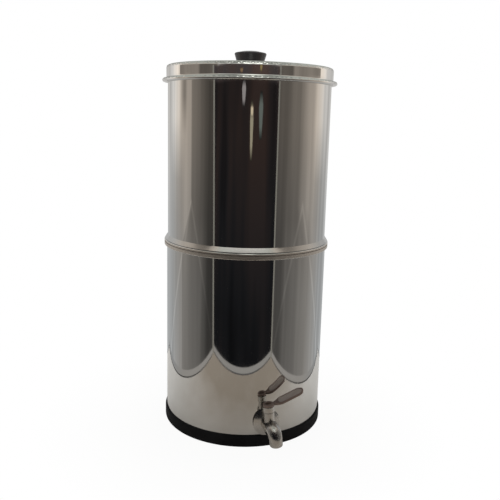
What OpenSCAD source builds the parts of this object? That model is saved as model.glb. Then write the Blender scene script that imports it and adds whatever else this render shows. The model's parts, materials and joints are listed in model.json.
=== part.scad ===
// Gravity water filter: two nested steel chambers, a lid with a knob, two ceramic
// candles and a lever tap. Millimetres, +Z up, origin under the middle of the base,
// tap towards -Y.

/* [Chambers] */
// Outer radius of the upper chamber
body_r = 110; // [100:0.5:130]
// Thickness of the sheet steel
sheet = 0.8; // [0.6:0.05:1]
// Radial gap between the upper chamber and the lower one that it stands in
nest_fit = 0.4; // [0.3:0.05:0.6]
// Height of the lower chamber's rim above its floor
lower_h = 260; // [230:1:320]
// Height of the upper chamber above its stacking bead's lower edge
upper_h = 230.9; // [220:0.1:320]
// Depth to which the upper chamber reaches into the lower one
nest_depth = 27; // [20:0.5:34]
// Outer radius of the pressed edge round each chamber's floor
floor_edge_r = 5; // [3:0.25:7]

/* [Beads and rims] */
// How far the stacking bead stands out from the upper chamber
bead_out = 3.5; // [3:0.1:5]
// Height of the stacking bead
bead_tall = 6.3; // [5:0.1:9]
// Radius of the hollow flare from the wall down to the bead's edge
bead_flare_r = 40; // [20:1:80]
// How far the lower chamber's rolled rim stands out
rim_out = 3.5; // [2.6:0.1:4]
// Height of the lower chamber's rolled rim
rim_tall = 8.4; // [7.5:0.1:9.5]
// Corner radius of the rolled rim
rim_corner = 1.4; // [1.1:0.05:1.5]
// Height of the groove round the rolled rim above the rim's lower edge
groove_z = 5.4; // [4:0.1:5.8]
// Radius of the groove's section
groove_r = 0.5; // [0.3:0.05:0.6]
// Radius of the safe edge rolled inwards at the top of the upper chamber
safe_edge_r = 1.9; // [1.6:0.1:2.4]
// Gap at rest under a piece that lifts off
rest_gap = 0.3; // [0.2:0.05:0.4]
// Slit that each rolled edge leaves open
roll_slit = 0.6; // [0.4:0.05:0.8]

/* [Base ring] */
// Thickness of the rubber ring outside the chamber's wall
ring_t = 2.2; // [2:0.1:4]
// Height of the rubber ring
ring_h = 17.1; // [14:0.1:18]
// Thickness of the ring's foot under the floor
foot_t = 3; // [2.5:0.1:5]
// Width of the ring's foot
foot_w = 11; // [9:0.5:20]
// Radius of the ring's inner edge
ring_edge_r = 1; // [0.6:0.1:1.2]
// Radius of the ring's outer edge on the table
ring_foot_r = 2.5; // [1.4:0.1:4]
// Radius of the ring's upper lip
ring_lip_r = 2; // [1:0.1:2]

/* [Lid] */
// Radial gap between the lid's skirt and the upper chamber
lid_fit = 1.1; // [0.6:0.05:1.5]
// Height of the lid from its flange to the edge of its top
lid_h = 22; // [18:0.25:30]
// Outer radius of the lid's shoulder
shoulder_r = 4; // [3.6:0.1:5]
// Rise of the lid's domed top
lid_rise = 3; // [1:0.25:6]
// Radius of the roll round the lid's flange
flange_roll_r = 2.45; // [2:0.05:2.8]
// Gap between the lid's skirt and the roll of its flange
flange_gap = 0.6; // [0.4:0.05:1.2]
// Radius of the fillet above the flange
flange_fillet = 1.5; // [1:0.1:2.5]

/* [Knob] */
// Radius of the knob's foot
knob_foot_r = 15; // [12:0.25:17]
// Radius of the knob where its waist ends
knob_waist_r = 18.9; // [18:0.1:20.5]
// Widest radius of the knob
knob_r = 21.5; // [21:0.1:26]
// Height of the knob's waist
knob_waist_h = 5.5; // [4:0.25:7]
// Height of the knob up to its widest ring
knob_side_h = 13.75; // [13:0.25:18]
// Height of the knob's crown above its widest ring
knob_crown_h = 4.3; // [3:0.1:6]
// Radius of the knob's screw
knob_screw_r = 2.5; // [2:0.1:3]
// Length of the knob's screw from its head
knob_screw_len = 13; // [10:0.5:15]
// Radius of the washer under the lid
knob_washer_r = 8; // [7:0.25:10]
// Thickness of that washer
knob_washer_t = 1.4; // [1:0.1:2]

/* [Candles] */
// Distance of each candle from the middle
candle_x = 48; // [34:0.5:62]
// Outer radius of a candle's ceramic shell
candle_r = 25; // [22:0.25:28]
// Thickness of the ceramic shell
candle_wall = 8; // [6:0.25:10]
// Height of the ceramic shell
candle_h = 168; // [120:1:180]
// Height of the carbon core inside the shell
core_h = 130; // [90:1:135]
// Clearance round the carbon core
core_gap = 0.4; // [0.3:0.05:0.6]
// Thickness of the candle cap's rim round the shell
cap_wall = 3; // [2:0.1:4]
// Depth of the socket in the candle cap
socket_depth = 11; // [8:0.25:15]
// Thickness of the candle cap's floor
cap_floor = 3; // [2:0.1:4]
// Radius of the candle's threaded stem
stem_r = 6; // [5:0.1:6.5]
// Radius of the water way through the stem
stem_bore_r = 2.6; // [2:0.1:3.4]
// Length of the stem below the cap
stem_len = 32; // [26:0.5:34]
// Radius of the rubber seal under the cap
seal_r = 14; // [12:0.25:16]
// Thickness of that seal
seal_t = 3; // [2:0.1:4]
// Clearance between a screwed piece and its thread
thread_fit = 0.05; // [0.02:0.01:0.08]
// Clearance of a hole round a stem, shank or screw
hole_fit = 0.3; // [0.25:0.05:0.5]
// Radius of the wing nut's barrel
wing_barrel_r = 9; // [8.5:0.1:11]
// Height of the wing nut's barrel
wing_barrel_h = 8; // [6:0.25:10]
// Span of the wing nut's wings
wing_span = 38; // [32:0.5:44]
// Thickness of a wing
wing_t = 2.6; // [2:0.1:4]

/* [Tap body] */
// Gap between the base ring and the tap's escutcheon above it
tap_clear = 0.2; // [0.1:0.1:15]
// Lean of the tap about its shank, top to the left
tap_lean = 5.7; // [-8:0.1:8]
// Radius of the threaded shank
shank_r = 7.9; // [7.5:0.05:8.5]
// Radius of the water way through the shank
shank_bore_r = 4; // [3:0.1:4.4]
// Length of the shank inside the chamber
shank_in = 13.5; // [13:0.25:18]
// Distance of the tap's upright neck from the chamber
neck_out = 17.3; // [17:0.1:22]
// Radius of the tap's upright neck
neck_r = 7; // [6.9:0.05:7.4]
// Height of the neck above the shank's axis
neck_h = 22.2; // [20:0.1:26]
// Radius of the spout where it leaves the escutcheon
spout_root_r = 8.9; // [8.8:0.1:9.8]
// Radius of the spout round the valve
spout_ball_r = 10; // [9.8:0.1:11.5]
// Radius of the spout at its mouth
spout_mouth_r = 8.4; // [8.2:0.1:8.8]
// Radius of the rounded lip of the mouth
spout_lip_r = 1.6; // [0.6:0.1:1.7]
// Reach of the spout's mouth from the chamber
spout_reach = 39.6; // [37:0.2:44]
// Drop of the spout's mouth below the shank's axis
spout_drop = 15; // [14.5:0.1:17]
// How far the curve of the spout pulls up over the valve
spout_crest = 3.5; // [0:0.25:5]
// Radius of the bore in the spout's mouth
mouth_bore_r = 6.2; // [5.5:0.1:6.4]
// Depth of that bore
mouth_bore_h = 7; // [6:0.25:8]
// Radius of the water way inside the spout
spout_bore_r = 4.2; // [3:0.1:4.5]

/* [Tap fittings] */
// Radius of the domed escutcheon
escutcheon_r = 18.2; // [17:0.1:19]
// Thickness of the escutcheon at its rim
escutcheon_edge = 1.4; // [1:0.1:2]
// Height of the escutcheon's dome above its rim
escutcheon_rise = 3.2; // [2.5:0.1:4]
// Thickness of the outer seal in line with the shank
outer_seal_t = 2; // [1.8:0.1:3]
// How far the outer seal stays inside the escutcheon's rim
outer_seal_inset = 0.9; // [0.5:0.1:2]
// Radius of the seal inside the chamber
inner_seal_r = 13; // [12:0.25:14]
// Thickness of the inner seal in line with the shank
inner_seal_t = 2.4; // [2:0.1:3]
// Width of the backnut across its flats
backnut_af = 24; // [22:0.5:26]
// Thickness of the backnut
backnut_t = 7; // [6:0.25:8]
// Radius of the bonnet that closes the neck
bonnet_r = 7.7; // [7.6:0.05:8.4]
// Height of the bonnet
bonnet_h = 7.5; // [6:0.1:8.5]
// Thickness of the bonnet's top
bonnet_top_t = 1.8; // [1.4:0.1:2.2]
// Width of the groove between neck and bonnet
bonnet_gap = 0.5; // [0.3:0.05:0.8]
// Radius of the bonnet's edges
bonnet_edge_r = 0.5; // [0.3:0.05:0.7]
// Radius of the neck's thread inside the bonnet
neck_thread_r = 6.2; // [6.1:0.05:6.4]

/* [Valve and lever] */
// Radius of the valve's spindle
spindle_r = 4.9; // [4.8:0.05:5.2]
// Depth of the spindle below the shank's axis
spindle_drop = 6; // [5.5:0.1:7]
// Radius of the spindle's stem through the bonnet
spindle_stem_r = 3.6; // [3.4:0.05:3.8]
// Running clearance of the spindle in its bore
spindle_fit = 0.06; // [0.02:0.01:0.1]
// Radius of the water way across the spindle
port_r = 3.2; // [2.6:0.1:3.4]
// Radius of an O-ring's section
oring_r = 0.7; // [0.6:0.05:0.8]
// Height of the first O-ring above the shank's axis
oring_z = 13; // [11:0.25:14]
// Distance between the two O-rings
oring_pitch = 5; // [4:0.25:7]
// Width of the square on the spindle across its flats
square_af = 4.6; // [4:0.1:4.7]
// Radius of the lever's hub
hub_r = 7.3; // [7:0.05:8]
// Thickness of the lever's strip
lever_t = 2.8; // [2.6:0.1:3.6]
// Length of the lever from its hub's axis
lever_len = 48.3; // [40:0.25:60]
// Rise of the lever's paddle above its hub's plane, in degrees
lever_rise = 16.5; // [10:0.5:25]
// Distance from the hub's axis to the lever's bend
lever_bend_x = 10.5; // [9.5:0.25:11.5]
// Width of the lever's neck where it leaves the hub
lever_neck_w = 5; // [4.5:0.25:8]
// Width of the lever's paddle
paddle_w = 16.2; // [13:0.1:18]
// Distance from the hub's axis to the paddle's near end
paddle_x = 12.5; // [11:0.25:14]
// Corner radius of the paddle's near end
paddle_corner = 6; // [4:0.25:7]
// Depth of the dished panel in the paddle
panel_depth = 0.5; // [0.3:0.05:0.8]
// Width of the rim round the dished panel
panel_rim = 1.7; // [1.2:0.1:3]
// Radius of the lever screw's thread
lever_screw_r = 1.5; // [1.2:0.1:1.6]
// Radius of the lever screw's head
lever_screw_head_r = 3.9; // [3.6:0.05:4.2]
// Thickness of the lever screw's head
lever_screw_head_t = 1.2; // [1:0.05:1.3]
// Length of the lever screw below its head
lever_screw_len = 9; // [7:0.25:11]

/* [Hidden] */

$fn = 96;
fine_fn = 720;                 // for a wide curve that shapes a small piece
coarse_fn = 32;                // for a thin ring's section
over = 1;                      // how far a cut runs past the face that it opens
left = -1;
right = 1;

// Heights of the stack
lower_r = body_r + nest_fit + sheet;
lower_floor_z = foot_t;
rim_z = lower_floor_z + lower_h;
bead_z = rim_z + rest_gap;
upper_floor_z = bead_z - nest_depth;
upper_top_z = bead_z + upper_h;

// The bead's flare, in the [radius, height] plane: a hollow arc from the wall to the bead's edge
bead_root = [body_r, bead_z + bead_tall];
bead_edge = [body_r + bead_out, bead_z + sheet];
flare_run = bead_edge - bead_root;
flare_side = [-flare_run[1], flare_run[0]] / norm(flare_run);
flare_sink = sqrt(pow(bead_flare_r, 2) - pow(norm(flare_run) / 2, 2));
flare_centre = (bead_root + bead_edge) / 2 + flare_sink * flare_side;

// The lid rests on the safe edge, at most by its rounded shoulder
lid_r = body_r + lid_fit + sheet;
shoulder_in_r = shoulder_r - sheet;
safe_edge_x = body_r - safe_edge_r;
safe_edge_z = upper_top_z - safe_edge_r;
shoulder_x = lid_r - shoulder_r;
shoulder_reach = shoulder_in_r - safe_edge_r - rest_gap;
shoulder_side = min(max(0, safe_edge_x - shoulder_x), shoulder_reach);
lid_under_z = safe_edge_z + shoulder_in_r - sqrt(pow(shoulder_reach, 2) - pow(shoulder_side, 2));
lid_edge_z = lid_under_z + sheet;
lid_foot_z = lid_edge_z - lid_h;
lid_top_z = lid_edge_z + lid_rise;
dome_steps = 16;
dome_power = 3;                // the lid's top is flatter in its middle the higher this is
shoulder_steps = 10;
knob_seat_r = knob_foot_r + over;
crown_steps = 6;
crown_sweep = 75;              // degrees of the knob's edge that are round
crown_dip = 1 / 6;             // fall of the crown half way out, as a share of its edge
screw_taper = 0.8;             // outer radius of a screw head, as a share of its inner one

// Candle, measured up from the upper chamber's floor
cap_z = seal_t;
cap_r = candle_r + core_gap + cap_wall;
socket_z = cap_z + cap_floor;
shell_z = socket_z + rest_gap;
cap_edge_r = cap_floor / 2;
wing_r = 4;
wing_taper = 0.85;             // a wing nut's lower radius, as a share of its upper one

// Tap, measured in its own frame: X to the right, Y into the chamber, Z up
tap_z = ring_h + tap_clear + escutcheon_r;
escutcheon_back = outer_seal_t;
seat_margin = 0.5;             // flat of the escutcheon left showing round the spout
escutcheon_front = escutcheon_back + escutcheon_edge + escutcheon_rise;
escutcheon_seat_r = spout_root_r + seat_margin;
dome_span = pow(escutcheon_r, 2) - pow(escutcheon_seat_r, 2);
dome_drop = (dome_span - pow(escutcheon_rise, 2)) / (2 * escutcheon_rise);
escutcheon_dome_r = sqrt(pow(escutcheon_r, 2) + pow(dome_drop, 2));
bonnet_z = neck_h + bonnet_gap;
bonnet_top_z = bonnet_z + bonnet_h;
neck_top_z = bonnet_top_z - bonnet_top_t - rest_gap;
spindle_collar_z = neck_top_z;
hub_z = bonnet_top_z + rest_gap;
hub_top_z = hub_z + lever_t;
square_top_z = hub_top_z - lever_screw_head_t - 2 * thread_fit;
bore_drop = spindle_drop + rest_gap;
backnut_y = sheet + inner_seal_t;
spout_bend_r = 9;
spout_bend_y = spout_reach - spout_bend_r;
spout_sides = 32;
spout_rings = 22;
lip_rings = 4;
groove_depth = 2 * oring_r;

// ---------- outlines ----------

// Outline of a round pot: side at r, from z0 up to z1, with a rounded floor edge
module pot_outline(r, z0, z1, edge_r) {
  translate([0, z0 + edge_r]) square([r, z1 - z0 - edge_r]);
  translate([0, z0]) square([r - edge_r, 2 * edge_r]);
  translate([r - edge_r, z0 + edge_r]) circle(edge_r);
}

// Outline of the stacking bead: flat below, with a hollow flare up to the wall
module bead_outline() {
  difference() {
    translate([body_r - sheet / 2, bead_z]) square([bead_out + sheet / 2, bead_tall + sheet]);
    translate(flare_centre) circle(bead_flare_r, $fn = fine_fn);
  }
}

// Hollow of the stacking bead, which leaves the sheet's thickness all round it
module bead_hollow() {
  difference() {
    translate([body_r - 2 * sheet, bead_z + sheet]) square([bead_out + 2 * sheet, bead_tall]);
    translate(flare_centre) circle(bead_flare_r + sheet, $fn = fine_fn);
  }
}

// Rectangle with rounded corners, its lower inner corner at [x, z]
module rounded_outline(x, z, w, h, r) {
  translate([x + r, z]) square([w - 2 * r, h]);
  translate([x, z + r]) square([w, h - 2 * r]);
  for (i = [r, w - r], j = [r, h - r]) translate([x + i, z + j]) circle(r);
}

// Concave fillet between a wall at x and a ledge at z, filling up and outwards
module fillet_outline(x, z, r) {
  difference() {
    translate([x - sheet / 2, z - sheet / 2]) square([r + sheet / 2, r + sheet / 2]);
    translate([x + r, z + r]) circle(r);
  }
}

// Points on an arc from angle a0 to a1
function arc(cx, cz, r, a0, a1, steps) =
  [for (i = [0:steps]) let (a = a0 + (a1 - a0) * i / steps) [cx + r * cos(a), cz + r * sin(a)]];

// ---------- base and lower chamber ----------

module base_ring() {
  foot_x = lower_r + ring_t - foot_w;
  color("#1b1b1c") rotate_extrude() difference() {
    intersection() {
      rounded_outline(foot_x, 0, foot_w, ring_h, ring_edge_r);
      rounded_outline(foot_x - 2 * ring_foot_r, 0, foot_w + 2 * ring_foot_r, 2 * ring_h, ring_foot_r);
      rounded_outline(foot_x - 2 * ring_lip_r, -ring_h, foot_w + 2 * ring_lip_r, 2 * ring_h, ring_lip_r);
    }
    pot_outline(lower_r, lower_floor_z, ring_h + over, floor_edge_r);
  }
}

module lower_chamber() {
  color("#b9b8b4") difference() {
    rotate_extrude() {
      difference() {
        pot_outline(lower_r, lower_floor_z, rim_z - rim_tall / 2, floor_edge_r);
        pot_outline(lower_r - sheet, lower_floor_z + sheet, rim_z + over, floor_edge_r - sheet);
      }
      rolled_rim();
    }
    tap_frame() rotate([90, 0, 0])
      cylinder(r = shank_r + hole_fit, h = 2 * neck_out, center = true);
  }
}

// The lower chamber's edge rolled outwards and down, with a groove round it
module rolled_rim() {
  z = rim_z - rim_tall;
  difference() {
    rounded_outline(lower_r - sheet, z, rim_out + sheet, rim_tall, rim_corner);
    rounded_outline(lower_r, z + sheet, rim_out - sheet, rim_tall - 2 * sheet, rim_corner - sheet);
    translate([lower_r, z - over]) square([roll_slit, sheet + 2 * over]);
    translate([lower_r + rim_out + groove_r / 2, z + groove_z]) circle(groove_r);
  }
}

// ---------- upper chamber ----------

module upper_chamber() {
  color("#bdbcb8") difference() {
    rotate_extrude() {
      difference() {
        union() {
          pot_outline(body_r, upper_floor_z, safe_edge_z, floor_edge_r);
          bead_outline();
        }
        pot_outline(body_r - sheet, upper_floor_z + sheet, upper_top_z, floor_edge_r - sheet);
        bead_hollow();
      }
      safe_edge();
    }
    for (side = [left, right])
      candle_place(side) cylinder(r = stem_r + hole_fit, h = 4 * sheet, center = true);
  }
}

// The upper chamber's edge rolled inwards, open by a slit next to the wall
module safe_edge() {
  difference() {
    translate([safe_edge_x, safe_edge_z]) circle(safe_edge_r);
    translate([safe_edge_x, safe_edge_z]) circle(safe_edge_r - sheet);
    translate([body_r - sheet - roll_slit, safe_edge_z - safe_edge_r]) square([roll_slit, safe_edge_r]);
  }
}

// ---------- lid and knob ----------

// Height of the domed top at radius x
function dome_z(x) = lid_rise * (1 - pow(max(0, x - knob_seat_r) / (shoulder_x - knob_seat_r), dome_power));

// Solid outline of the lid: side at r, rounded shoulder and domed top
module lid_outline(r, z, foot, edge_r) {
  span = shoulder_x - knob_seat_r;
  dome = [for (i = [dome_steps - 1:-1:0]) let (x = knob_seat_r + span * i / dome_steps) [x, z + dome_z(x)]];
  shoulder = arc(r - edge_r, z - edge_r, edge_r, 0, 90, shoulder_steps);
  polygon(concat([[0, foot], [r, foot]], shoulder, dome, [[0, z + lid_rise]]));
}

module lid() {
  roll_x = lid_r + flange_gap + flange_roll_r;
  roll_z = lid_foot_z + flange_roll_r;
  flange_z = lid_foot_z + 2 * flange_roll_r;
  color("#b4b3ae") difference() {
    rotate_extrude() {
      difference() {
        union() {
          lid_outline(lid_r, lid_edge_z, flange_z - sheet, shoulder_r);
          translate([lid_r - sheet, flange_z - sheet]) square([roll_x - lid_r + sheet, sheet]);
          fillet_outline(lid_r, flange_z, flange_fillet);
        }
        lid_outline(lid_r - sheet, lid_under_z, lid_foot_z - over, shoulder_in_r);
      }
      difference() {
        translate([roll_x, roll_z]) circle(flange_roll_r);
        translate([roll_x, roll_z]) circle(flange_roll_r - sheet);
        translate([roll_x - flange_roll_r, roll_z - flange_roll_r / 2])
          square([flange_roll_r / 2, flange_roll_r]);
      }
    }
    translate([0, 0, lid_under_z]) cylinder(r = knob_screw_r + hole_fit, h = 2 * lid_rise + sheet);
  }
}

module lid_knob() {
  crown_r = knob_crown_h / 2;
  waist = [for (i = [0:crown_steps]) let (t = i / crown_steps)
    [knob_foot_r + (knob_waist_r - knob_foot_r) * pow(t, 2), knob_waist_h * t]];
  edge = arc(knob_r - crown_r, knob_side_h, crown_r, 0, crown_sweep, crown_steps);
  crown_z = knob_side_h + knob_crown_h;
  color("#17171a") translate([0, 0, lid_top_z]) difference() {
    rotate_extrude()
      polygon(concat([[0, 0]], waist, edge, [[knob_r / 2, crown_z - crown_dip * crown_r], [0, crown_z]]));
    translate([0, 0, -over]) cylinder(r = knob_screw_r + thread_fit, h = knob_screw_len + over);
  }
}

module knob_washer() {
  color("#2a2a2c") translate([0, 0, lid_top_z - sheet - knob_washer_t]) difference() {
    cylinder(r = knob_washer_r, h = knob_washer_t);
    translate([0, 0, -over]) cylinder(r = knob_screw_r + hole_fit, h = knob_washer_t + 2 * over);
  }
}

module knob_screw() {
  head_r = 2 * knob_screw_r;
  head_t = knob_screw_r;
  slot = knob_screw_r / 2;
  color("#c9c8c4") translate([0, 0, lid_top_z - sheet - knob_washer_t]) difference() {
    union() {
      cylinder(r = knob_screw_r, h = knob_screw_len);
      translate([0, 0, -head_t]) cylinder(r1 = screw_taper * head_r, r2 = head_r, h = head_t);
    }
    translate([-head_r, -slot / 2, -head_t - over]) cube([2 * head_r, slot, over + head_t / 2]);
  }
}

// ---------- candles ----------

module candle_place(side) translate([side * candle_x, 0, upper_floor_z + sheet]) children();

module candle_shell(side) {
  bore_r = candle_r - candle_wall;
  color("#e9e4d8") candle_place(side) translate([0, 0, shell_z]) rotate_extrude() difference() {
    dome_ended_outline(candle_r, candle_h);
    translate([0, -over]) dome_ended_outline(bore_r, candle_h - candle_wall + over);
  }
}

// Half the outline of a rod with a round end, standing on z = 0
module dome_ended_outline(r, h) {
  square([r, h - r]);
  intersection() {
    translate([0, h - r]) circle(r);
    translate([0, h - 2 * r]) square([r, 2 * r]);
  }
}

module candle_core(side) {
  core_r = candle_r - candle_wall - core_gap;
  color("#2c2c2c") candle_place(side) translate([0, 0, shell_z]) difference() {
    cylinder(r = core_r, h = core_h);
    translate([0, 0, -over]) cylinder(r = stem_bore_r, h = core_h / 2);
  }
}

module candle_cap(side) {
  color("#dfe3e6") candle_place(side) difference() {
    union() {
      rotate_extrude() difference() {
        pot_outline(cap_r, cap_z, socket_z + socket_depth, cap_edge_r);
        translate([0, socket_z]) square([candle_r + core_gap, socket_depth + over]);
      }
      translate([0, 0, cap_z - stem_len]) cylinder(r = stem_r, h = stem_len + cap_edge_r);
    }
    translate([0, 0, cap_z - stem_len - over])
      cylinder(r = stem_bore_r, h = stem_len + cap_floor + 2 * over);
  }
}

module candle_seal(side) {
  color("#333335") candle_place(side) difference() {
    cylinder(r = seal_r, h = seal_t);
    translate([0, 0, -over]) cylinder(r = stem_r + hole_fit, h = seal_t + 2 * over);
  }
}

module wing_nut(side) {
  color("#e4e6e8") candle_place(side) translate([0, 0, -sheet - wing_barrel_h]) difference() {
    union() {
      cylinder(r1 = wing_taper * wing_barrel_r, r2 = wing_barrel_r, h = wing_barrel_h);
      rotate([90, 0, 0]) linear_extrude(wing_t, center = true) wing_outline();
    }
    translate([0, 0, -wing_barrel_h]) cylinder(r = stem_r + thread_fit, h = 2 * wing_barrel_h + over);
  }
}

// Two ears that sweep out and down from the barrel
module wing_outline() {
  ear_x = wing_span / 2 - wing_r;
  for (side = [left, right]) {
    translate([side * ear_x, 0]) circle(wing_r);
    polygon([[0, wing_barrel_h / 2], [side * ear_x, wing_r], [side * ear_x, -wing_r], [0, 0]]);
  }
}

// ---------- tap ----------

// The tap's own frame, at the wall on the shank's axis
module tap_frame() translate([0, -lower_r, tap_z]) rotate([0, -tap_lean, 0]) children();

// The valve's upright axis
module neck_axis() translate([0, -neck_out, 0]) children();

// A rod of radius r along the shank, from y0 to y1 inwards
module shank_rod(r, y0, y1) translate([0, y1, 0]) rotate([90, 0, 0]) cylinder(r = r, h = y1 - y0);

// Centre line of the spout in the [reach, height] plane: a cubic curve from the
// escutcheon, level at first, that turns down to the mouth
spout_path = [
  [escutcheon_back, 0], [spout_reach - spout_ball_r / 2, spout_crest],
  [spout_reach, 0], [spout_reach, spout_lip_r - spout_drop]
];
function spout_point(t) =
  let (s = 1 - t) s * s * s * spout_path[0] + 3 * s * s * t * spout_path[1]
    + 3 * s * t * t * spout_path[2] + t * t * t * spout_path[3];
function spout_slope(t) =
  let (s = 1 - t) s * s * (spout_path[1] - spout_path[0]) + 2 * s * t * (spout_path[2] - spout_path[1])
    + t * t * (spout_path[3] - spout_path[2]);

// Radius along the spout: it swells round the valve, then tapers to the mouth
ball_t = 0.33;
function ease(t) = t * t * (3 - 2 * t);
function spout_radius(t) = t < ball_t
  ? spout_root_r + (spout_ball_r - spout_root_r) * ease(t / ball_t)
  : spout_ball_r + (spout_mouth_r - spout_ball_r) * ease((t - ball_t) / (1 - ball_t));

// Ring of radius r round p, square to the unit slope d
function tube_ring(p, d, r) = [for (k = [0:spout_sides - 1]) let (a = 360 * k / spout_sides)
  [r * cos(a), -p[0] + r * sin(a) * d[1], p[1] + r * sin(a) * d[0]]];
function spout_ring(t) = tube_ring(spout_point(t), spout_slope(t) / norm(spout_slope(t)), spout_radius(t));

// Ring of the mouth's lip, a degrees round its curve
function lip_ring(a) = tube_ring(
  spout_path[3] - [0, spout_lip_r * sin(a)], [0, -1], spout_mouth_r - spout_lip_r * (1 - cos(a)));

module spout_horn() {
  horn = [for (i = [0:spout_rings]) spout_ring(i / spout_rings)];
  lip = [for (i = [1:lip_rings]) lip_ring(90 * i / lip_rings)];
  last = spout_rings + lip_rings;
  sides = [for (i = [0:last - 1], k = [0:spout_sides - 1])
    let (a = i * spout_sides + k, b = i * spout_sides + (k + 1) % spout_sides)
    [a, a + spout_sides, b + spout_sides, b]];
  root = [for (k = [0:spout_sides - 1]) k];
  mouth = [for (k = [spout_sides - 1:-1:0]) last * spout_sides + k];
  polyhedron([for (ring = concat(horn, lip)) each ring], concat(sides, [root, mouth]));
}

// Water way from the valve, level, round one bend and down to the mouth
module spout_bore() {
  shank_rod(spout_bore_r, -spout_bend_y, -neck_out);
  translate([0, -spout_bend_y, -spout_bend_r]) rotate([0, 0, 90]) rotate([90, 0, 180])
    rotate_extrude(angle = 90) translate([spout_bend_r, 0]) circle(spout_bore_r);
  translate([0, -spout_reach, -spout_drop]) cylinder(r = spout_bore_r, h = spout_drop - spout_bend_r);
  translate([0, -spout_reach, -spout_drop - over]) cylinder(r = mouth_bore_r, h = mouth_bore_h + over);
}

module tap_body() {
  color("#a9a7a3") tap_frame() difference() {
    union() {
      difference() {
        spout_horn();
        shank_rod(escutcheon_r, -escutcheon_front, escutcheon_front);
      }
      neck_axis() cylinder(r = neck_r, h = neck_h);
      neck_axis() cylinder(r = neck_thread_r, h = neck_top_z);
      shank_rod(shank_r, -escutcheon_front - over, shank_in);
    }
    neck_axis() translate([0, 0, -bore_drop])
      cylinder(r = spindle_r + spindle_fit, h = neck_top_z + bore_drop + over);
    shank_rod(shank_bore_r, -neck_out, shank_in + over);
    spout_bore();
  }
}

module tap_escutcheon() {
  color("#c2c1bd") tap_frame() translate([0, -escutcheon_back, 0]) rotate([90, 0, 0]) difference() {
    rotate_extrude() {
      square([escutcheon_r, escutcheon_edge]);
      intersection() {
        translate([0, escutcheon_edge]) square([escutcheon_r, escutcheon_rise]);
        translate([0, escutcheon_edge - dome_drop])
          circle(escutcheon_dome_r, $fn = fine_fn);
      }
    }
    translate([0, 0, -over]) cylinder(r = shank_r + hole_fit / 2, h = escutcheon_front + over);
  }
}

// Rubber washer, hollowed to the chamber's wall
module tap_outer_seal() {
  color("#202022") difference() {
    tap_frame() shank_rod(escutcheon_r - outer_seal_inset, -escutcheon_back, escutcheon_r);
    tap_frame() shank_rod(shank_r + hole_fit / 2, -escutcheon_r, 2 * escutcheon_r);
    cylinder(r = lower_r, h = 2 * lower_h, $fn = fine_fn);
  }
}

module tap_inner_seal() {
  color("#202022") intersection() {
    tap_frame() difference() {
      shank_rod(inner_seal_r, -over, backnut_y);
      shank_rod(shank_r + hole_fit / 2, -2 * over, backnut_y + over);
    }
    cylinder(r = lower_r - sheet, h = 2 * lower_h, $fn = fine_fn);
  }
}

module tap_backnut() {
  color("#b8b6b0") tap_frame() translate([0, backnut_y + backnut_t, 0]) rotate([90, 0, 0]) difference() {
    cylinder(r = backnut_af / 2 / cos(30), h = backnut_t, $fn = 6);
    translate([0, 0, -over]) cylinder(r = shank_r + thread_fit, h = backnut_t + 2 * over);
  }
}

module tap_bonnet() {
  color("#b2b0ab") tap_frame() neck_axis() translate([0, 0, bonnet_z]) difference() {
    rotate_extrude() rounded_outline(0, 0, bonnet_r, bonnet_h, bonnet_edge_r);
    translate([0, 0, -over]) cylinder(r = neck_thread_r + thread_fit, h = bonnet_h - bonnet_top_t + over);
    cylinder(r = spindle_stem_r + spindle_fit, h = bonnet_h + over);
  }
}

module tap_spindle() {
  groove_w = 2 * oring_r + 4 * thread_fit;
  color("#8f8d88") tap_frame() neck_axis() difference() {
    union() {
      translate([0, 0, -spindle_drop]) cylinder(r = spindle_r, h = spindle_drop + spindle_collar_z);
      cylinder(r = spindle_stem_r, h = hub_z - rest_gap / 2);
      translate([-square_af / 2, -square_af / 2, 0]) cube([square_af, square_af, square_top_z]);
    }
    rotate([0, 90, 0]) cylinder(r = port_r, h = 4 * spindle_r, center = true);
    for (i = [0, 1]) translate([0, 0, oring_z + i * oring_pitch]) difference() {
      cylinder(r = spindle_r + over, h = groove_w, center = true);
      cylinder(r = spindle_r - groove_depth, h = 2 * groove_w, center = true);
    }
    translate([0, 0, hub_top_z - lever_screw_head_t - lever_screw_len - over])
      cylinder(r = lever_screw_r + thread_fit, h = lever_screw_len + 2 * over);
  }
}

module spindle_orings() {
  ring_r = spindle_r - oring_r;
  color("#1d1d1f") tap_frame() neck_axis() for (i = [0, 1])
    translate([0, 0, oring_z + i * oring_pitch]) rotate_extrude()
      translate([ring_r, 0]) circle(oring_r - thread_fit / 2, $fn = coarse_fn);
}

// ---------- lever ----------

// Side outline of the lever's strip: level through the hub, then rising
module lever_side() {
  tip_x = lever_len + hub_r;
  run = tip_x - lever_bend_x;
  polygon([
    [-2 * hub_r, 0], [lever_bend_x + lever_t * tan(lever_rise / 2), 0], [tip_x, run * tan(lever_rise)],
    [tip_x, run * tan(lever_rise) + lever_t / cos(lever_rise)], [lever_bend_x, lever_t],
    [-2 * hub_r, lever_t]
  ]);
}

// Outline of the lever from above: round hub, neck that widens to the paddle
module lever_plan() {
  neck = [hub_r, lever_neck_w / 2];
  shoulder = tangent_point(neck, [paddle_x + paddle_corner, paddle_w / 2 - paddle_corner], paddle_corner);
  circle(hub_r);
  polygon([
    [0, -neck[1]], [hub_r, -neck[1]], [shoulder[0], -shoulder[1]], shoulder, neck, [0, neck[1]]
  ]);
  paddle_plan(0);
}

// Where a line from p touches the circle of radius r round c, on its left
function tangent_point(p, c, r) =
  let (d = norm(c - p), a = atan2(c[1] - p[1], c[0] - p[0]) + asin(r / d), l = sqrt(d * d - r * r))
  p + l * [cos(a), sin(a)];

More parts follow.
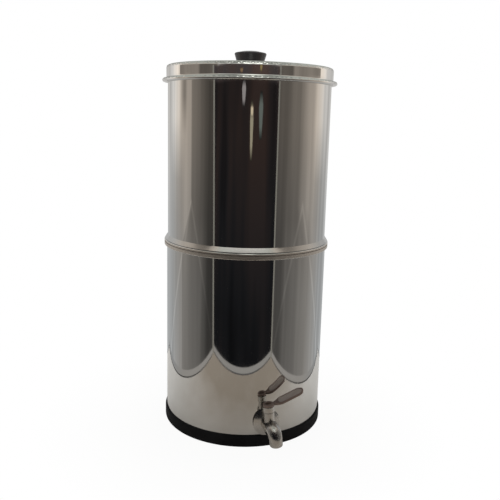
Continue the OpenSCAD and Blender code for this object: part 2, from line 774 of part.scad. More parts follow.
// The paddle's outline, taken in by inset
module paddle_plan(inset) {
  half = paddle_w / 2 - inset;
  corner = paddle_corner - inset;
  near_x = paddle_x + paddle_corner;
  tip_x = lever_len - paddle_w / 2;
  for (side = [left, right]) translate([near_x, side * (half - corner)]) circle(corner);
  translate([near_x - corner, -half + corner]) square([corner, 2 * (half - corner)]);
  translate([near_x, -half]) square([tip_x - near_x, 2 * half]);
  translate([tip_x, 0]) circle(half);
}

module lever_blank() {
  intersection() {
    rotate([90, 0, 0]) linear_extrude(2 * paddle_w, center = true) lever_side();
    linear_extrude(lever_len) lever_plan();
  }
}

module tap_lever() {
  color("#8c8680") tap_frame() neck_axis() translate([0, 0, hub_z]) difference() {
    lever_blank();
    intersection() {
      rotate([90, 0, 0]) linear_extrude(2 * paddle_w, center = true)
        translate([0, lever_t - panel_depth / cos(lever_rise)]) lever_side();
      linear_extrude(lever_len) paddle_plan(panel_rim);
    }
    translate([-square_af / 2 - thread_fit, -square_af / 2 - thread_fit, -over])
      cube([square_af + 2 * thread_fit, square_af + 2 * thread_fit, lever_t + 2 * over]);
    translate([0, 0, lever_t - lever_screw_head_t - thread_fit])
      cylinder(r = lever_screw_head_r + thread_fit, h = lever_t);
  }
}

module lever_screw() {
  slot = lever_screw_r / 2;
  color("#9c9993") tap_frame() neck_axis() translate([0, 0, hub_top_z - lever_screw_head_t]) difference() {
    union() {
      cylinder(r = lever_screw_head_r, h = lever_screw_head_t);
      translate([0, 0, -lever_screw_len]) cylinder(r = lever_screw_r, h = lever_screw_len + over / 2);
    }
    translate([-2 * lever_screw_head_r, -slot / 2, lever_screw_head_t / 2])
      cube([4 * lever_screw_head_r, slot, lever_screw_head_t]);
  }
}

base_ring();
lower_chamber();
upper_chamber();
lid();
lid_knob();
knob_screw();
knob_washer();
candle_shell(left);  // candle_shell_left
candle_shell(right);  // candle_shell_right
candle_core(left);  // candle_core_left
candle_core(right);  // candle_core_right
candle_cap(left);  // candle_cap_left
candle_cap(right);  // candle_cap_right
candle_seal(left);  // candle_seal_left
candle_seal(right);  // candle_seal_right
wing_nut(left);  // wing_nut_left
wing_nut(right);  // wing_nut_right
tap_body();
tap_escutcheon();
tap_outer_seal();
tap_inner_seal();
tap_backnut();
tap_bonnet();
tap_spindle();
spindle_orings();
tap_lever();
lever_screw();
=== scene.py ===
"""Looks of a gravity water filter: two stacked chambers of polished steel, a lid with a knob,
ceramic candles inside and a lever tap. Sizes are in millimetres until a mesh is finished."""
import json
import math
from functools import partialmethod

import bmesh
import bpy
from mathutils import Matrix, Vector


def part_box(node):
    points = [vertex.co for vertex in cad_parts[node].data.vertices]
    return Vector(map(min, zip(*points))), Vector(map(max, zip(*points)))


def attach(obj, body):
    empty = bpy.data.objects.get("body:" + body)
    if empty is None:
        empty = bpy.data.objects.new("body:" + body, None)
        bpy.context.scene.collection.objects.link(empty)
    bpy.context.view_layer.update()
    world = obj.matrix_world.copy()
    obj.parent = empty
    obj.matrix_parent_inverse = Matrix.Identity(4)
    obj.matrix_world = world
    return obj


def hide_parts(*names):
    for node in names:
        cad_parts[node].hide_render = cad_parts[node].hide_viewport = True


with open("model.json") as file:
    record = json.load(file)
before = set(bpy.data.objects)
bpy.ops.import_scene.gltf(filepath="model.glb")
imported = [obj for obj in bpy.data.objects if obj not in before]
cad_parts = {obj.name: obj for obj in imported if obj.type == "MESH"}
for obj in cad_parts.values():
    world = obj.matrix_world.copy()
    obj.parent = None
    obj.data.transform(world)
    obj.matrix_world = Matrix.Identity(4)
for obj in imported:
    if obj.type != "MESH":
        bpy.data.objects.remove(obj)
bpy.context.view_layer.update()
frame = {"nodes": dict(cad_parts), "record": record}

MM = 0.001


def box_mm(node_name):
    """Lowest and highest corner of a CAD node, in millimetres."""
    low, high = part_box(node_name)
    return low / MM, high / MM


# ---------- sizes shared with the part's source ----------

SHEET = 0.8
FLOOR_EDGE = 5
BEAD_OUT = 3.5
BEAD_TALL = 6.3
FOLD_ROUND = 0.3
SAFE_EDGE = 1.9
RIM_OUT = 3.5
RIM_TALL = 8.4
RIM_CORNER = 1.4
RIM_SLIT = 0.6
GROOVE_UP = 5.4
GROOVE = 0.5
NEST_DEPTH = 27

RING_FOOT_WIDTH = 11
RING_LIP = 2
RING_FOOT_ROUND = 2.5
RING_EDGE = 1

SHOULDER = 4
LID_RISE = 3
DOME_POWER = 3
FLANGE_ROLL = 2.45
FLANGE_GAP = 0.6
FLANGE_FILLET = 1.5

KNOB_FOOT = 15
KNOB_WAIST = 18.9
KNOB_RADIUS = 21.5
KNOB_WAIST_UP = 5.5
KNOB_SIDE_UP = 13.75
KNOB_CROWN = 4.3

TAP_LEAN = 5.7
NECK_OUT = 17.3
NECK_RADIUS = 7
NECK_UP = 22.2
NECK_THREAD = 6.2
SHANK_RADIUS = 7.9
SHANK_IN = 13.5
SPOUT_ROOT = 8.9
SPOUT_BALL = 10
SPOUT_BALL_AT = 0.33
SPOUT_MOUTH = 8.4
SPOUT_LIP = 1.6
SPOUT_REACH = 39.6
SPOUT_DROP = 15
SPOUT_CREST = 3.5
MOUTH_BORE = 6.2
MOUTH_BORE_DEEP = 7
WATER_WAY = 4.2

OUTER_SEAL = 2
ESCUTCHEON = 18.2
ESCUTCHEON_EDGE = 1.4
ESCUTCHEON_RISE = 3.2
ESCUTCHEON_SEAT = 9.4
ESCUTCHEON_BORE = 8.05

BONNET = 7.7
BONNET_TALL = 7.5
BONNET_GAP = 0.5
BONNET_BORE = 3.66
BONNET_TOP = 1.8

HUB = 7.3
HUB_GAP = 0.3
LEVER_THICK = 2.8
LEVER_LONG = 48.3
LEVER_RISE = 16.5
LEVER_BEND_AT = 10.5
LEVER_SOFT = 2.5
LEVER_EDGE = 0.35
LEVER_NECK = 5
PADDLE_WIDE = 16.2
PADDLE_AT = 12.5
PADDLE_CORNER = 6
PANEL_DEEP = 0.5
PANEL_RIM = 1.7
SCREW_SEAT = 3.95
SCREW_SEAT_UP = 1.6

STEM = 6
STEM_LONG = 32
THREAD_PITCH = 1.5
THREAD_DEEP = 0.45
THREAD_END = 4

# Sizes closer than this are the same
NEAR = 0.02

# The bead's flare is drawn up to 0.1 mm flatter than the part's, for a calmer reflection.
FLARE_RADIUS = 120

# Places taken from the frame
lower_low, lower_high = box_mm("lower_chamber")
upper_low, upper_high = box_mm("upper_chamber")
lid_low, lid_high = box_mm("lid")
ring_high = box_mm("base_ring")[1]
knob_low, knob_high = box_mm("lid_knob")
plate_low, plate_high = box_mm("tap_escutcheon")

LOWER_R = lower_high.x - RIM_OUT
BODY_R = upper_high.x - BEAD_OUT
LID_R = lid_high.x - FLANGE_GAP - 2 * FLANGE_ROLL
RIM_Z = lower_high.z
BEAD_Z = upper_low.z + NEST_DEPTH
LID_EDGE_Z = lid_high.z - LID_RISE
TAP_Z = (plate_low.z + plate_high.z) / 2
NEST_Z = upper_low.z
INSIDE_TOP = lid_low.z - SHEET

TAP = Matrix.Translation((0, -LOWER_R, TAP_Z)) @ Matrix.Rotation(math.radians(-TAP_LEAN), 4, "Y")
SHANK = TAP @ Matrix.Rotation(math.radians(90), 4, "X")
NECK = TAP @ Matrix.Translation((0, -NECK_OUT, 0))
BONNET_Z = NECK_UP + BONNET_GAP
HUB_Z = BONNET_Z + BONNET_TALL + HUB_GAP
ESCUTCHEON_FRONT = OUTER_SEAL + ESCUTCHEON_EDGE + ESCUTCHEON_RISE


# ---------- nodes ----------

class Output:
    """A node's output, ready for plain arithmetic. Comparisons give 1 or 0."""

    def __init__(self, tree, socket):
        self.tree = tree
        self.socket = socket

    def calc(self, operation, *others):
        """The result of a math node that takes this output and the others."""
        return output(self.tree, "ShaderNodeMath", dict(enumerate((self, *others))), operation=operation)

    __add__ = partialmethod(calc, "ADD")
    __sub__ = partialmethod(calc, "SUBTRACT")
    __mul__ = partialmethod(calc, "MULTIPLY")
    __truediv__ = partialmethod(calc, "DIVIDE")
    __gt__ = partialmethod(calc, "GREATER_THAN")
    __lt__ = partialmethod(calc, "LESS_THAN")
    __abs__ = partialmethod(calc, "ABSOLUTE")


def node(tree, kind, inputs=None, **settings):
    """A new node. An input that is another node's output is linked, any other is a value."""
    made = tree.nodes.new(kind)
    for key, value in settings.items():
        setattr(made, key, value)
    for key, value in (inputs or {}).items():
        if isinstance(key, str):
            socket = next(s for s in made.inputs if s.name == key and s.enabled)
        else:
            socket = made.inputs[key]
        if isinstance(value, Output):
            tree.links.new(value.socket, socket)
        else:
            socket.default_value = value
    return made


def output(tree, kind, inputs=None, name=None, **settings):
    """A new node's first output in use, or the one of that name."""
    made = node(tree, kind, inputs, **settings)
    return Output(tree, next(s for s in made.outputs if s.enabled and name in (None, s.name)))


def split(vector):
    """The three numbers of a vector."""
    made = node(vector.tree, "ShaderNodeSeparateXYZ", {"Vector": vector})
    return [Output(vector.tree, socket) for socket in made.outputs]


def length(a, b):
    """How far a step with these two sides goes."""
    return (a * a + b * b).calc("SQRT")


def ramp(value, low, high, to_low=0.0, to_high=1.0):
    """Goes straight from one value to another between two limits, and stays level outside them."""
    inputs = {"Value": value, "From Min": low, "From Max": high, "To Min": to_low, "To Max": to_high}
    return output(value.tree, "ShaderNodeMapRange", inputs)


def noise(vector, scale, detail, roughness=0.5):
    """Soft random values. The scale is the number of waves in a metre, along all axes or each."""
    scale = scale if isinstance(scale, tuple) else (scale, scale, scale)
    scaled = output(vector.tree, "ShaderNodeMapping", {"Vector": vector, "Scale": scale}, vector_type="POINT")
    inputs = {"Vector": scaled, "Scale": 1.0, "Detail": detail, "Roughness": roughness}
    return output(vector.tree, "ShaderNodeTexNoise", inputs)


def coloured(colour):
    """A colour for a socket: three numbers get their alpha, an output stays as it is."""
    return colour if isinstance(colour, Output) else (*colour, 1)


def blend(share, first, second):
    """One colour for a share of 0, the other for 1."""
    inputs = {"Factor": share, 6: coloured(first), 7: coloured(second)}
    made = node(share.tree, "ShaderNodeMix", inputs, data_type="RGBA")
    return Output(share.tree, made.outputs[2])


# ---------- finishes ----------

# Painted shade: the colour of the cast steel as it looks in shade, for the lever outside its panel and the screw
# head.
PAINTED_SHADE_STEEL = (0.26, 0.19, 0.165)


def finish(name, colour, roughness, metallic=0.0):
    """A material, its shader, and the object's own coordinates in metres."""
    made = bpy.data.materials.new(name)
    made.use_nodes = True
    shader = made.node_tree.nodes["Principled BSDF"]
    shader.inputs["Base Color"].default_value = (*colour, 1)
    shader.inputs["Roughness"].default_value = roughness
    shader.inputs["Metallic"].default_value = metallic
    return made, shader, output(made.node_tree, "ShaderNodeTexCoord", name="Object")


def feed(shader, name, value):
    """Links a value to one of the shader's inputs."""
    value.tree.links.new(value.socket, shader.inputs[name])


def tint(shader, share, first, second):
    """The base colour goes from the first colour to the second as the share goes from 0 to 1."""
    feed(shader, "Base Color", blend(share, first, second))


def bump(shader, height, depth_mm):
    """Relief that is drawn by the shading alone."""
    feed(shader, "Normal", output(height.tree, "ShaderNodeBump", {"Height": height, "Distance": depth_mm * MM}))


def marked_share(place, name):
    """The share that a piece's faces carry under that name, 0 where they carry none."""
    return output(place.tree, "ShaderNodeAttribute", name="Fac", attribute_name=name)


def around(place):
    """Coordinates that follow a turned wall: radius, way round and height."""
    x, y, z = split(place)
    way = y.calc("ARCTAN2", x) * (BODY_R * MM)
    return output(place.tree, "ShaderNodeCombineXYZ", {"X": length(x, y), "Y": way, "Z": z})


def zone(value, low, high):
    """1 between two sizes in millimetres, 0 elsewhere."""
    return (value > low * MM) * (value < high * MM)


def band(radius, inner, outer, height, low, high):
    """1 in a band of a turned piece, between two radii and two heights in millimetres."""
    return zone(radius, inner, outer) * zone(height, low, high)


def polished_steel():
    """Mirror-polished sheet with fine buffing lines, slight waves and faint smears. The rim's face is satin,
    the bead's flare a little soft, and the insides are duller. Painted shade darkens the groove in the rim's face."""
    made, shader, place = finish("polished_steel", (0.72, 0.71, 0.69), 0.04, 1.0)
    wall = around(place)
    radius, _, height = split(wall)
    smears = noise(place, (22, 22, 9), 4)
    lines = noise(wall, (900, 14, 2600), 3)
    waves = noise(wall, (10, 13, 3), 1)
    satin = band(radius, LOWER_R + SHEET, LOWER_R + 2 * RIM_OUT,
                 height, RIM_Z - RIM_TALL + RIM_CORNER / 2, RIM_Z - RIM_CORNER / 2)
    soft = band(radius, BODY_R + FOLD_ROUND, BODY_R + 2 * BEAD_OUT, height, BEAD_Z, BEAD_Z + BEAD_TALL)
    low_inside = band(radius, 0, LOWER_R - SHEET / 2, height, 0, NEST_Z)
    inside = low_inside + band(radius, 0, BODY_R - SHEET / 2, height, NEST_Z, INSIDE_TOP)
    rough = ramp(smears, 0.35, 0.7, 0.015, 0.05) + lines * 0.02
    feed(shader, "Roughness", rough + soft * 0.17 + satin * 0.52 + inside * 0.3)
    # Painted shade: the groove in the rim's face gets a dark brown colour, where shade falls into it.
    groove_z = RIM_Z - RIM_TALL + GROOVE_UP
    painted_groove_shade = satin * zone(height, groove_z - GROOVE, groove_z + GROOVE)
    steel = blend(smears, (0.68, 0.67, 0.65), (0.76, 0.75, 0.73))
    tint(shader, painted_groove_shade, blend(satin, steel, (0.93, 0.87, 0.8)), (0.3, 0.26, 0.23))
    bump(shader, waves + lines * 0.002, 0.12)
    return made


def tap_steel():
    """Polished cast steel: small pits, soft waves and a duller shine. Satin faces are dark with painted shade, like
    the lever's rim.
    """
    made, shader, place = finish("tap_steel", (0.64, 0.62, 0.59), 0.14, 1.0)
    grain = noise(place, 700, 5)
    waves = noise(place, 90, 2)
    satin = marked_share(place, "satin")
    # Painted shade: faces marked satin take the shaded steel colour.
    tint(shader, satin, blend(waves, (0.56, 0.54, 0.51), (0.70, 0.68, 0.65)), PAINTED_SHADE_STEEL)
    feed(shader, "Roughness", satin * 0.25 + ramp(grain, 0.3, 0.75, 0.17, 0.3))
    bump(shader, waves + grain * 0.06, 0.16)
    return made


def lever_steel():
    """Satin cast steel with a fine grain and faint clouds, and painted shade that makes it darker where it is not
    dished.
    """
    made, shader, place = finish("lever_steel", (0.4, 0.34, 0.31), 0.46, 0.8)
    grain = noise(place, 900, 4)
    clouds = noise(place, 70, 3)
    # Painted shade: the dished panel keeps the lit colour, the rest of the lever takes the shaded one.
    share = marked_share(place, "dished") * 0.8 + ramp(clouds, 0.3, 0.7, 0.0, 0.2)
    tint(shader, share, PAINTED_SHADE_STEEL, (0.58, 0.51, 0.47))
    feed(shader, "Roughness", ramp(grain, 0.3, 0.7, 0.4, 0.52))
    bump(shader, grain, 0.03)
    return made


def rubber(name, colour, pale, roughness):
    """Moulded rubber: a fine grain and a dusty bloom."""
    made, shader, place = finish(name, colour, roughness)
    bloom = noise(place, (35, 35, 60), 4)
    tint(shader, ramp(bloom, 0.4, 0.75), colour, pale)
    feed(shader, "Roughness", ramp(bloom, 0.3, 0.7, roughness - 0.06, roughness + 0.08))
    shader.inputs["Specular IOR Level"].default_value = 0.15
    bump(shader, noise(place, 1500, 3), 0.05)
    return made


def knob_plastic():
    """Black moulded plastic with a satin gloss and light scuffs."""
    made, shader, place = finish("knob_plastic", (0.018, 0.016, 0.018), 0.26)
    scuffs = noise(place, (60, 260, 260), 6, 0.65)
    tint(shader, ramp(scuffs, 0.55, 0.8), (0.018, 0.015, 0.017), (0.05, 0.045, 0.048))
    feed(shader, "Roughness", ramp(scuffs, 0.4, 0.75, 0.2, 0.38))
    bump(shader, noise(place, 1100, 2), 0.02)
    return made


def candle_ceramic():
    """Unglazed ceramic: a chalky grain with pores and a few faint stains."""
    made, shader, place = finish("candle_ceramic", (0.84, 0.81, 0.74), 0.85)
    stains = noise(place, (30, 30, 14), 5)
    tint(shader, ramp(stains, 0.35, 0.7), (0.76, 0.71, 0.62), (0.87, 0.85, 0.79))
    bump(shader, noise(place, 900, 6, 0.7), 0.12)
    return made


def moulded(name, dark, light, roughness):
    """Plain moulded plastic or pressed carbon, with a grain of its own."""
    made, shader, place = finish(name, light, roughness)
    clouds = noise(place, 50, 3)
    tint(shader, clouds, dark, light)
    feed(shader, "Roughness", ramp(clouds, 0.3, 0.7, roughness - 0.05, roughness + 0.08))
    bump(shader, noise(place, 1000, 3), 0.04)
    return made


FINISHES = {
    "polished_steel": polished_steel(),
    "tap_steel": tap_steel(),
    "lever_steel": lever_steel(),
    "base_rubber": rubber("base_rubber", (0.004, 0.004, 0.0045), (0.009, 0.009, 0.010), 0.7),
    "seal_rubber": rubber("seal_rubber", (0.016, 0.016, 0.017), (0.03, 0.03, 0.031), 0.6),
    "knob_plastic": knob_plastic(),
    "candle_ceramic": candle_ceramic(),
    "candle_carbon": moulded("candle_carbon", (0.015, 0.015, 0.015), (0.05, 0.05, 0.05), 0.8),
    "candle_cap_plastic": moulded("candle_cap_plastic", (0.78, 0.80, 0.81), (0.86, 0.88, 0.89), 0.38),
}


# ---------- making and dressing pieces ----------

def add_object(name, data):
    """A new object in the scene."""
    made = bpy.data.objects.new(name, data)
    bpy.context.scene.collection.objects.link(made)
    return made


def applied(made):
    """The object with what its modifiers make as its own plain mesh."""
    bpy.context.view_layer.update()
    evaluated = made.evaluated_get(bpy.context.evaluated_depsgraph_get())
    mesh = bpy.data.meshes.new_from_object(evaluated)
    made.modifiers.clear()
    made.data = mesh
    return made


def smooth(made, sharp_angle=32):
    """Smooth shading that keeps edges above the angle sharp."""
    made.data.shade_smooth()
    made.data.set_sharp_from_angle(angle=math.radians(sharp_angle))
    return made


def in_place(made, matrix=Matrix()):
    """Millimetres about a piece's own axis become metres in the filter's frame."""
    made.data.transform(Matrix.Scale(MM, 4) @ matrix)
    return made


def dress(made, body, slot, *nodes):
    """A finished piece rides on its body and stands for its CAD nodes."""
    made.data.materials.clear()
    made.data.materials.append(FINISHES[slot])
    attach(made, body)
    if nodes:
        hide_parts(*nodes)


def run_tree(made, tree, inputs):
    """The object's mesh becomes what the tree makes of it. Inputs are set by their sockets' identifiers."""
    modifier = made.modifiers.new("tree", "NODES")
    modifier.node_group = tree
    for name, value in inputs.items():
        sockets = tree.interface.items_tree
        identifier = next(s.identifier for s in sockets if s.name == name and s.in_out == "INPUT")
        modifier[identifier] = value
    return applied(made)


def new_tree(name, inputs):
    """A Geometry Nodes tree, and its inputs by name."""
    tree = bpy.data.node_groups.new(name, "GeometryNodeTree")
    for socket, kind in inputs.items():
        tree.interface.new_socket(name=socket, in_out="INPUT", socket_type="NodeSocket" + kind)
    tree.interface.new_socket(name="Part", in_out="OUTPUT", socket_type="NodeSocketGeometry")
    given = tree.nodes.new("NodeGroupInput")
    return tree, {socket: Output(tree, given.outputs[socket]) for socket in inputs}


def close_tree(tree, geometry, material):
    """Every tree ends with real meshes that carry their finish."""
    real = output(tree, "GeometryNodeRealizeInstances", {"Geometry": geometry})
    painted = output(tree, "GeometryNodeSetMaterial", {"Geometry": real, "Material": material})
    node(tree, "NodeGroupOutput", {"Part": painted})
    return tree


def turning_tree():
    """Sweeps an outline of (radius, height) points round the z axis, with inward ripples where it has them."""
    tree, given = new_tree("turned_part", {
        "Outline": "Geometry", "Segments": "Int", "Ripples": "Float", "Ripple depth": "Float",
        "Finish": "Material"})
    outline, segments = given["Outline"], given["Segments"]

    def whole(operation, a, b):
        return output(tree, "FunctionNodeIntegerMath", {0: a, 1: b}, operation=operation)

    def sampled(value):
        """The value at the outline's point that a point of the grid stands for."""
        inputs = {"Geometry": outline, "Value": value, "Index": along}
        return output(tree, "GeometryNodeSampleIndex", inputs, data_type="FLOAT_VECTOR", domain="POINT")

    points = output(tree, "GeometryNodeAttributeDomainSize", {"Geometry": outline}, "Point Count")
    sides = {"Vertices X": whole("ADD", segments, 1), "Vertices Y": points}
    grid = output(tree, "GeometryNodeMeshGrid", sides, "Mesh")
    index = output(tree, "GeometryNodeInputIndex")
    along = whole("MODULO", index, points)
    angle = whole("DIVIDE_FLOOR", index, points) / segments * math.tau
    point = sampled(output(tree, "GeometryNodeInputPosition"))
    lean = output(tree, "GeometryNodeInputNamedAttribute", {"Name": "ripple"}, data_type="FLOAT_VECTOR")
    fine = (angle * given["Ripples"]).calc("COSINE")
    broad = (angle * (given["Ripples"] * 0.6)).calc("COSINE")
    swell = ((fine + broad) * 0.25 - 0.5) * given["Ripple depth"]
    offset = output(tree, "ShaderNodeVectorMath", {0: sampled(lean), "Scale": swell}, operation="SCALE")
    moved = output(tree, "ShaderNodeVectorMath", {0: point, 1: offset}, operation="ADD")
    swept = output(tree, "ShaderNodeVectorRotate", {"Vector": moved, "Angle": angle}, rotation_type="Z_AXIS")
    placed = output(tree, "GeometryNodeSetPosition", {"Geometry": grid, "Position": swept})
    merged = output(tree, "GeometryNodeMergeByDistance", {"Geometry": placed, "Distance": 1e-4})
    return close_tree(tree, merged, given["Finish"])


def thread_tree():
    """A helical ridge round the z axis."""
    tree, given = new_tree("screw_thread", {
        "Radius": "Float", "Pitch": "Float", "Length": "Float", "Depth": "Float", "Finish": "Material"})
    middle = given["Radius"] - given["Depth"]
    helix = output(tree, "GeometryNodeCurveSpiral", {
        "Resolution": 48, "Rotations": given["Length"] / given["Pitch"], "Start Radius": middle,
        "End Radius": middle, "Height": given["Length"]})
    circle = {"Resolution": 6, "Radius": given["Depth"]}
    ridge = output(tree, "GeometryNodeCurvePrimitiveCircle", circle, "Curve")
    swept = {"Curve": helix, "Profile Curve": ridge, "Fill Caps": True}
    return close_tree(tree, output(tree, "GeometryNodeCurveToMesh", swept), given["Finish"])


TURNING = turning_tree()
THREAD = thread_tree()


def turned(name, outline, matrix=Matrix(), segments=256, ripples=0, ripple_depth=0.0, ripple_weight=None):
    """A turned piece. The weight says how much of the ripple each outline point takes."""
    mesh = bpy.data.meshes.new(name)
    mesh.from_pydata([(x, 0, z) for x, z in outline], [], [])
    lean = mesh.attributes.new("ripple", "FLOAT_VECTOR", "POINT")
    if ripple_weight:
        for i, (x, z) in enumerate(outline[1:-1], 1):
            run = Vector(outline[i + 1]) - Vector(outline[i - 1])
            side = Vector((run.y, 0, -run.x)).normalized()
            lean.data[i].vector = side * ripple_weight(x, z)
    made = run_tree(add_object(name, mesh), TURNING, {
        "Segments": segments, "Ripples": float(ripples), "Ripple depth": ripple_depth,
        "Finish": FINISHES["polished_steel"]})
    return in_place(smooth(made), matrix)


def thread(name, radius, length, matrix):
    """The ridge of a screw thread from the matrix's origin up its z axis."""
    made = run_tree(add_object(name, bpy.data.meshes.new(name)), THREAD, {
        "Radius": radius, "Pitch": THREAD_PITCH, "Length": length, "Depth": THREAD_DEEP,
        "Finish": FINISHES["tap_steel"]})
    return in_place(smooth(made, 60), matrix)


def from_bmesh(name, work):
    """An object from a finished bmesh, its faces turned outwards."""
    bmesh.ops.recalc_face_normals(work, faces=work.faces)
    mesh = bpy.data.meshes.new(name)
    work.to_mesh(mesh)
    work.free()
    return add_object(name, mesh)


def combined(made, other, operation):
    """The piece with the other one joined to it or cut out of it, the other used up."""
    modifier = made.modifiers.new("combine", "BOOLEAN")
    modifier.operation = operation
    modifier.solver = "EXACT"
    modifier.object = other
    applied(made)
    bpy.data.objects.remove(other)
    return made


def mark(made, name, chosen):
    """Writes 1 on the faces that pass a test and 0 on the others, as an attribute for a finish."""
    shares = made.data.attributes.new(name, "FLOAT", "FACE")
    shares.data.foreach_set("value", [1.0 if chosen(face) else 0.0 for face in made.data.polygons])


def softened(name, cad_node):
    """A merged copy of a CAD node, shaded smooth between its edges."""
    made = add_object(name, frame["nodes"][cad_node].data.copy())
    work = bmesh.new()
    work.from_mesh(made.data)
    bmesh.ops.remove_doubles(work, verts=work.verts, dist=1e-6)
    work.to_mesh(made.data)
    work.free()
    return smooth(made, 28)


# ---------- outlines ----------

def arc(x, z, radius, start, end, step=9):
    """Points on an arc round (x, z), from one angle to another in degrees."""
    count = max(2, round(abs(end - start) / step))
    angles = [math.radians(start + (end - start) * i / count) for i in range(count + 1)]
    return [(x + radius * math.cos(a), z + radius * math.sin(a)) for a in angles]


def supported(points, near=0.25, longest=1.5):
    """Adds points close to both ends of each long run, which keeps its shading flat."""
    made = [points[0]]
    for start, end in zip(points, points[1:]):
        run = Vector(end) - Vector(start)
        if run.length > longest:
            step = run.normalized() * near
            made += [tuple(Vector(start) + step), tuple(Vector(end) - step)]
        made.append(end)
    return made


def flare(sunk):
    """Points down the bead's hollow flare, or down its inner face when sunk into the sheet."""
    root = Vector((BODY_R, BEAD_Z + BEAD_TALL))
    edge = Vector((BODY_R + BEAD_OUT, BEAD_Z + SHEET))
    run = edge - root
    side = Vector((-run.y, run.x)).normalized()
    centre = (root + edge) / 2 + side * math.sqrt(FLARE_RADIUS ** 2 - run.length_squared / 4)
    radius = FLARE_RADIUS + sunk
    start, end = root - side * sunk, edge - side * sunk
    if sunk:
        start.x = BODY_R - SHEET
        start.y = centre.y - math.sqrt(radius ** 2 - (start.x - centre.x) ** 2)
        end.y = BEAD_Z + SHEET
        end.x = centre.x - math.sqrt(radius ** 2 - (end.y - centre.y) ** 2)
    first, last = (math.degrees(math.atan2(p.y - centre.y, p.x - centre.x)) for p in (start, end))
    return arc(*centre, radius, first, last, 1)


def upper_outline():
    """From under the floor, up the outside, over the safe edge and down the inside."""
    floor_z = upper_low.z
    top_z = upper_high.z
    inner_x = BODY_R - SHEET
    fold_x = BODY_R + BEAD_OUT - FOLD_ROUND
    edge = (BODY_R - FLOOR_EDGE, floor_z + FLOOR_EDGE)
    return supported([
        (0, floor_z), *arc(*edge, FLOOR_EDGE, -90, 0), (BODY_R, BEAD_Z),
        *arc(fold_x, BEAD_Z + FOLD_ROUND, FOLD_ROUND, -90, 0, 30),
        *flare(0)[::-1],
        *arc(BODY_R - SAFE_EDGE, top_z - SAFE_EDGE, SAFE_EDGE, 0, 250),
        (inner_x, top_z - 2 * SAFE_EDGE),
        *flare(SHEET),
        (inner_x, BEAD_Z + SHEET), *arc(*edge, FLOOR_EDGE - SHEET, 0, -90), (0, floor_z + SHEET)])


def lower_outline():
    """From under the floor, up the outside, round the rolled rim and down the inside."""
    floor_z = lower_low.z
    rim_low = RIM_Z - RIM_TALL
    rim_x = LOWER_R + RIM_OUT
    inner_x = LOWER_R - SHEET
    edge = (LOWER_R - FLOOR_EDGE, floor_z + FLOOR_EDGE)
    corner_x = rim_x - RIM_CORNER
    lip = SHEET / 4
    return supported([
        (0, floor_z), *arc(*edge, FLOOR_EDGE, -90, 0),
        (LOWER_R, rim_low + SHEET), (LOWER_R + RIM_SLIT, rim_low + SHEET),
        *arc(LOWER_R + RIM_SLIT + lip, rim_low + lip, lip, 180, 270),
        *arc(corner_x, rim_low + RIM_CORNER, RIM_CORNER, -90, 0),
        *arc(rim_x + GROOVE / 2, rim_low + GROOVE_UP, GROOVE, 240, 120, 12),
        *arc(corner_x, RIM_Z - RIM_CORNER, RIM_CORNER, 0, 90),
        *arc(inner_x + RIM_CORNER, RIM_Z - RIM_CORNER, RIM_CORNER, 90, 180),
        *arc(*edge, FLOOR_EDGE - SHEET, 0, -90), (0, floor_z + SHEET)])


def lid_outline():
    """From under the top, down the skirt's inside, round the flange and up over the top."""
    roll_x = LID_R + FLANGE_GAP + FLANGE_ROLL
    roll_z = lid_low.z + FLANGE_ROLL
    flange_z = roll_z + FLANGE_ROLL
    lip = SHEET / 2
    shoulder = (LID_R - SHOULDER, LID_EDGE_Z - SHOULDER)
    span = shoulder[0] - KNOB_FOOT
    top_z = LID_EDGE_Z + LID_RISE
    shares = [i / 12 for i in range(12)]
    dome = [(KNOB_FOOT + span * a, LID_EDGE_Z + LID_RISE * (1 - a ** DOME_POWER)) for a in shares]
    return supported([
        (0, top_z - SHEET), *[(x, z - SHEET) for x, z in dome],
        *arc(*shoulder, SHOULDER - SHEET, 90, 0),
        *arc(LID_R - lip, flange_z - lip, lip, 180, 270),
        *arc(roll_x, roll_z, FLANGE_ROLL, 155, 450, 8),
        *arc(LID_R + FLANGE_FILLET, flange_z + FLANGE_FILLET, FLANGE_FILLET, -90, -180),
        *arc(*shoulder, SHOULDER, 0, 90, 6),
        *dome[::-1], (0, top_z)], longest=8)


def ring_outline():
    """The rubber ring: foot under the floor, wall outside with a rounded lip."""
    outer_x = ring_high.x
    foot_x = outer_x - RING_FOOT_WIDTH
    top_z = ring_high.z
    floor_z = lower_low.z
    edge = (LOWER_R - FLOOR_EDGE, floor_z + FLOOR_EDGE)
    points = [
        *arc(foot_x + RING_EDGE, RING_EDGE, RING_EDGE, 180, 270),
        *arc(outer_x - RING_FOOT_ROUND, RING_FOOT_ROUND, RING_FOOT_ROUND, -90, 0),
        *arc(outer_x - RING_LIP, top_z - RING_LIP, RING_LIP, 0, 90),
        (LOWER_R, top_z), *arc(*edge, FLOOR_EDGE, 0, -90), (foot_x, floor_z)]
    return supported(points + points[:1])


def knob_outline():
    """The knob: a foot that curves out to the waist, a rounded side and a low crown."""
    low_z = knob_low.z
    top_z = knob_high.z
    edge = KNOB_CROWN / 2
    foot = edge / 4
    shares = [i / 10 for i in range(1, 11)]
    waist = [(KNOB_FOOT + (KNOB_WAIST - KNOB_FOOT) * a ** 2, low_z + KNOB_WAIST_UP * a) for a in shares]
    return supported([
        (0, low_z), *arc(KNOB_FOOT - foot, low_z + foot, foot, -90, 0), *waist,
        *arc(KNOB_RADIUS - edge, low_z + KNOB_SIDE_UP, edge, 8, 78, 8),
        (KNOB_RADIUS / 2, top_z - edge / 6), (KNOB_RADIUS / 4, top_z - edge / 24), (0, top_z)])


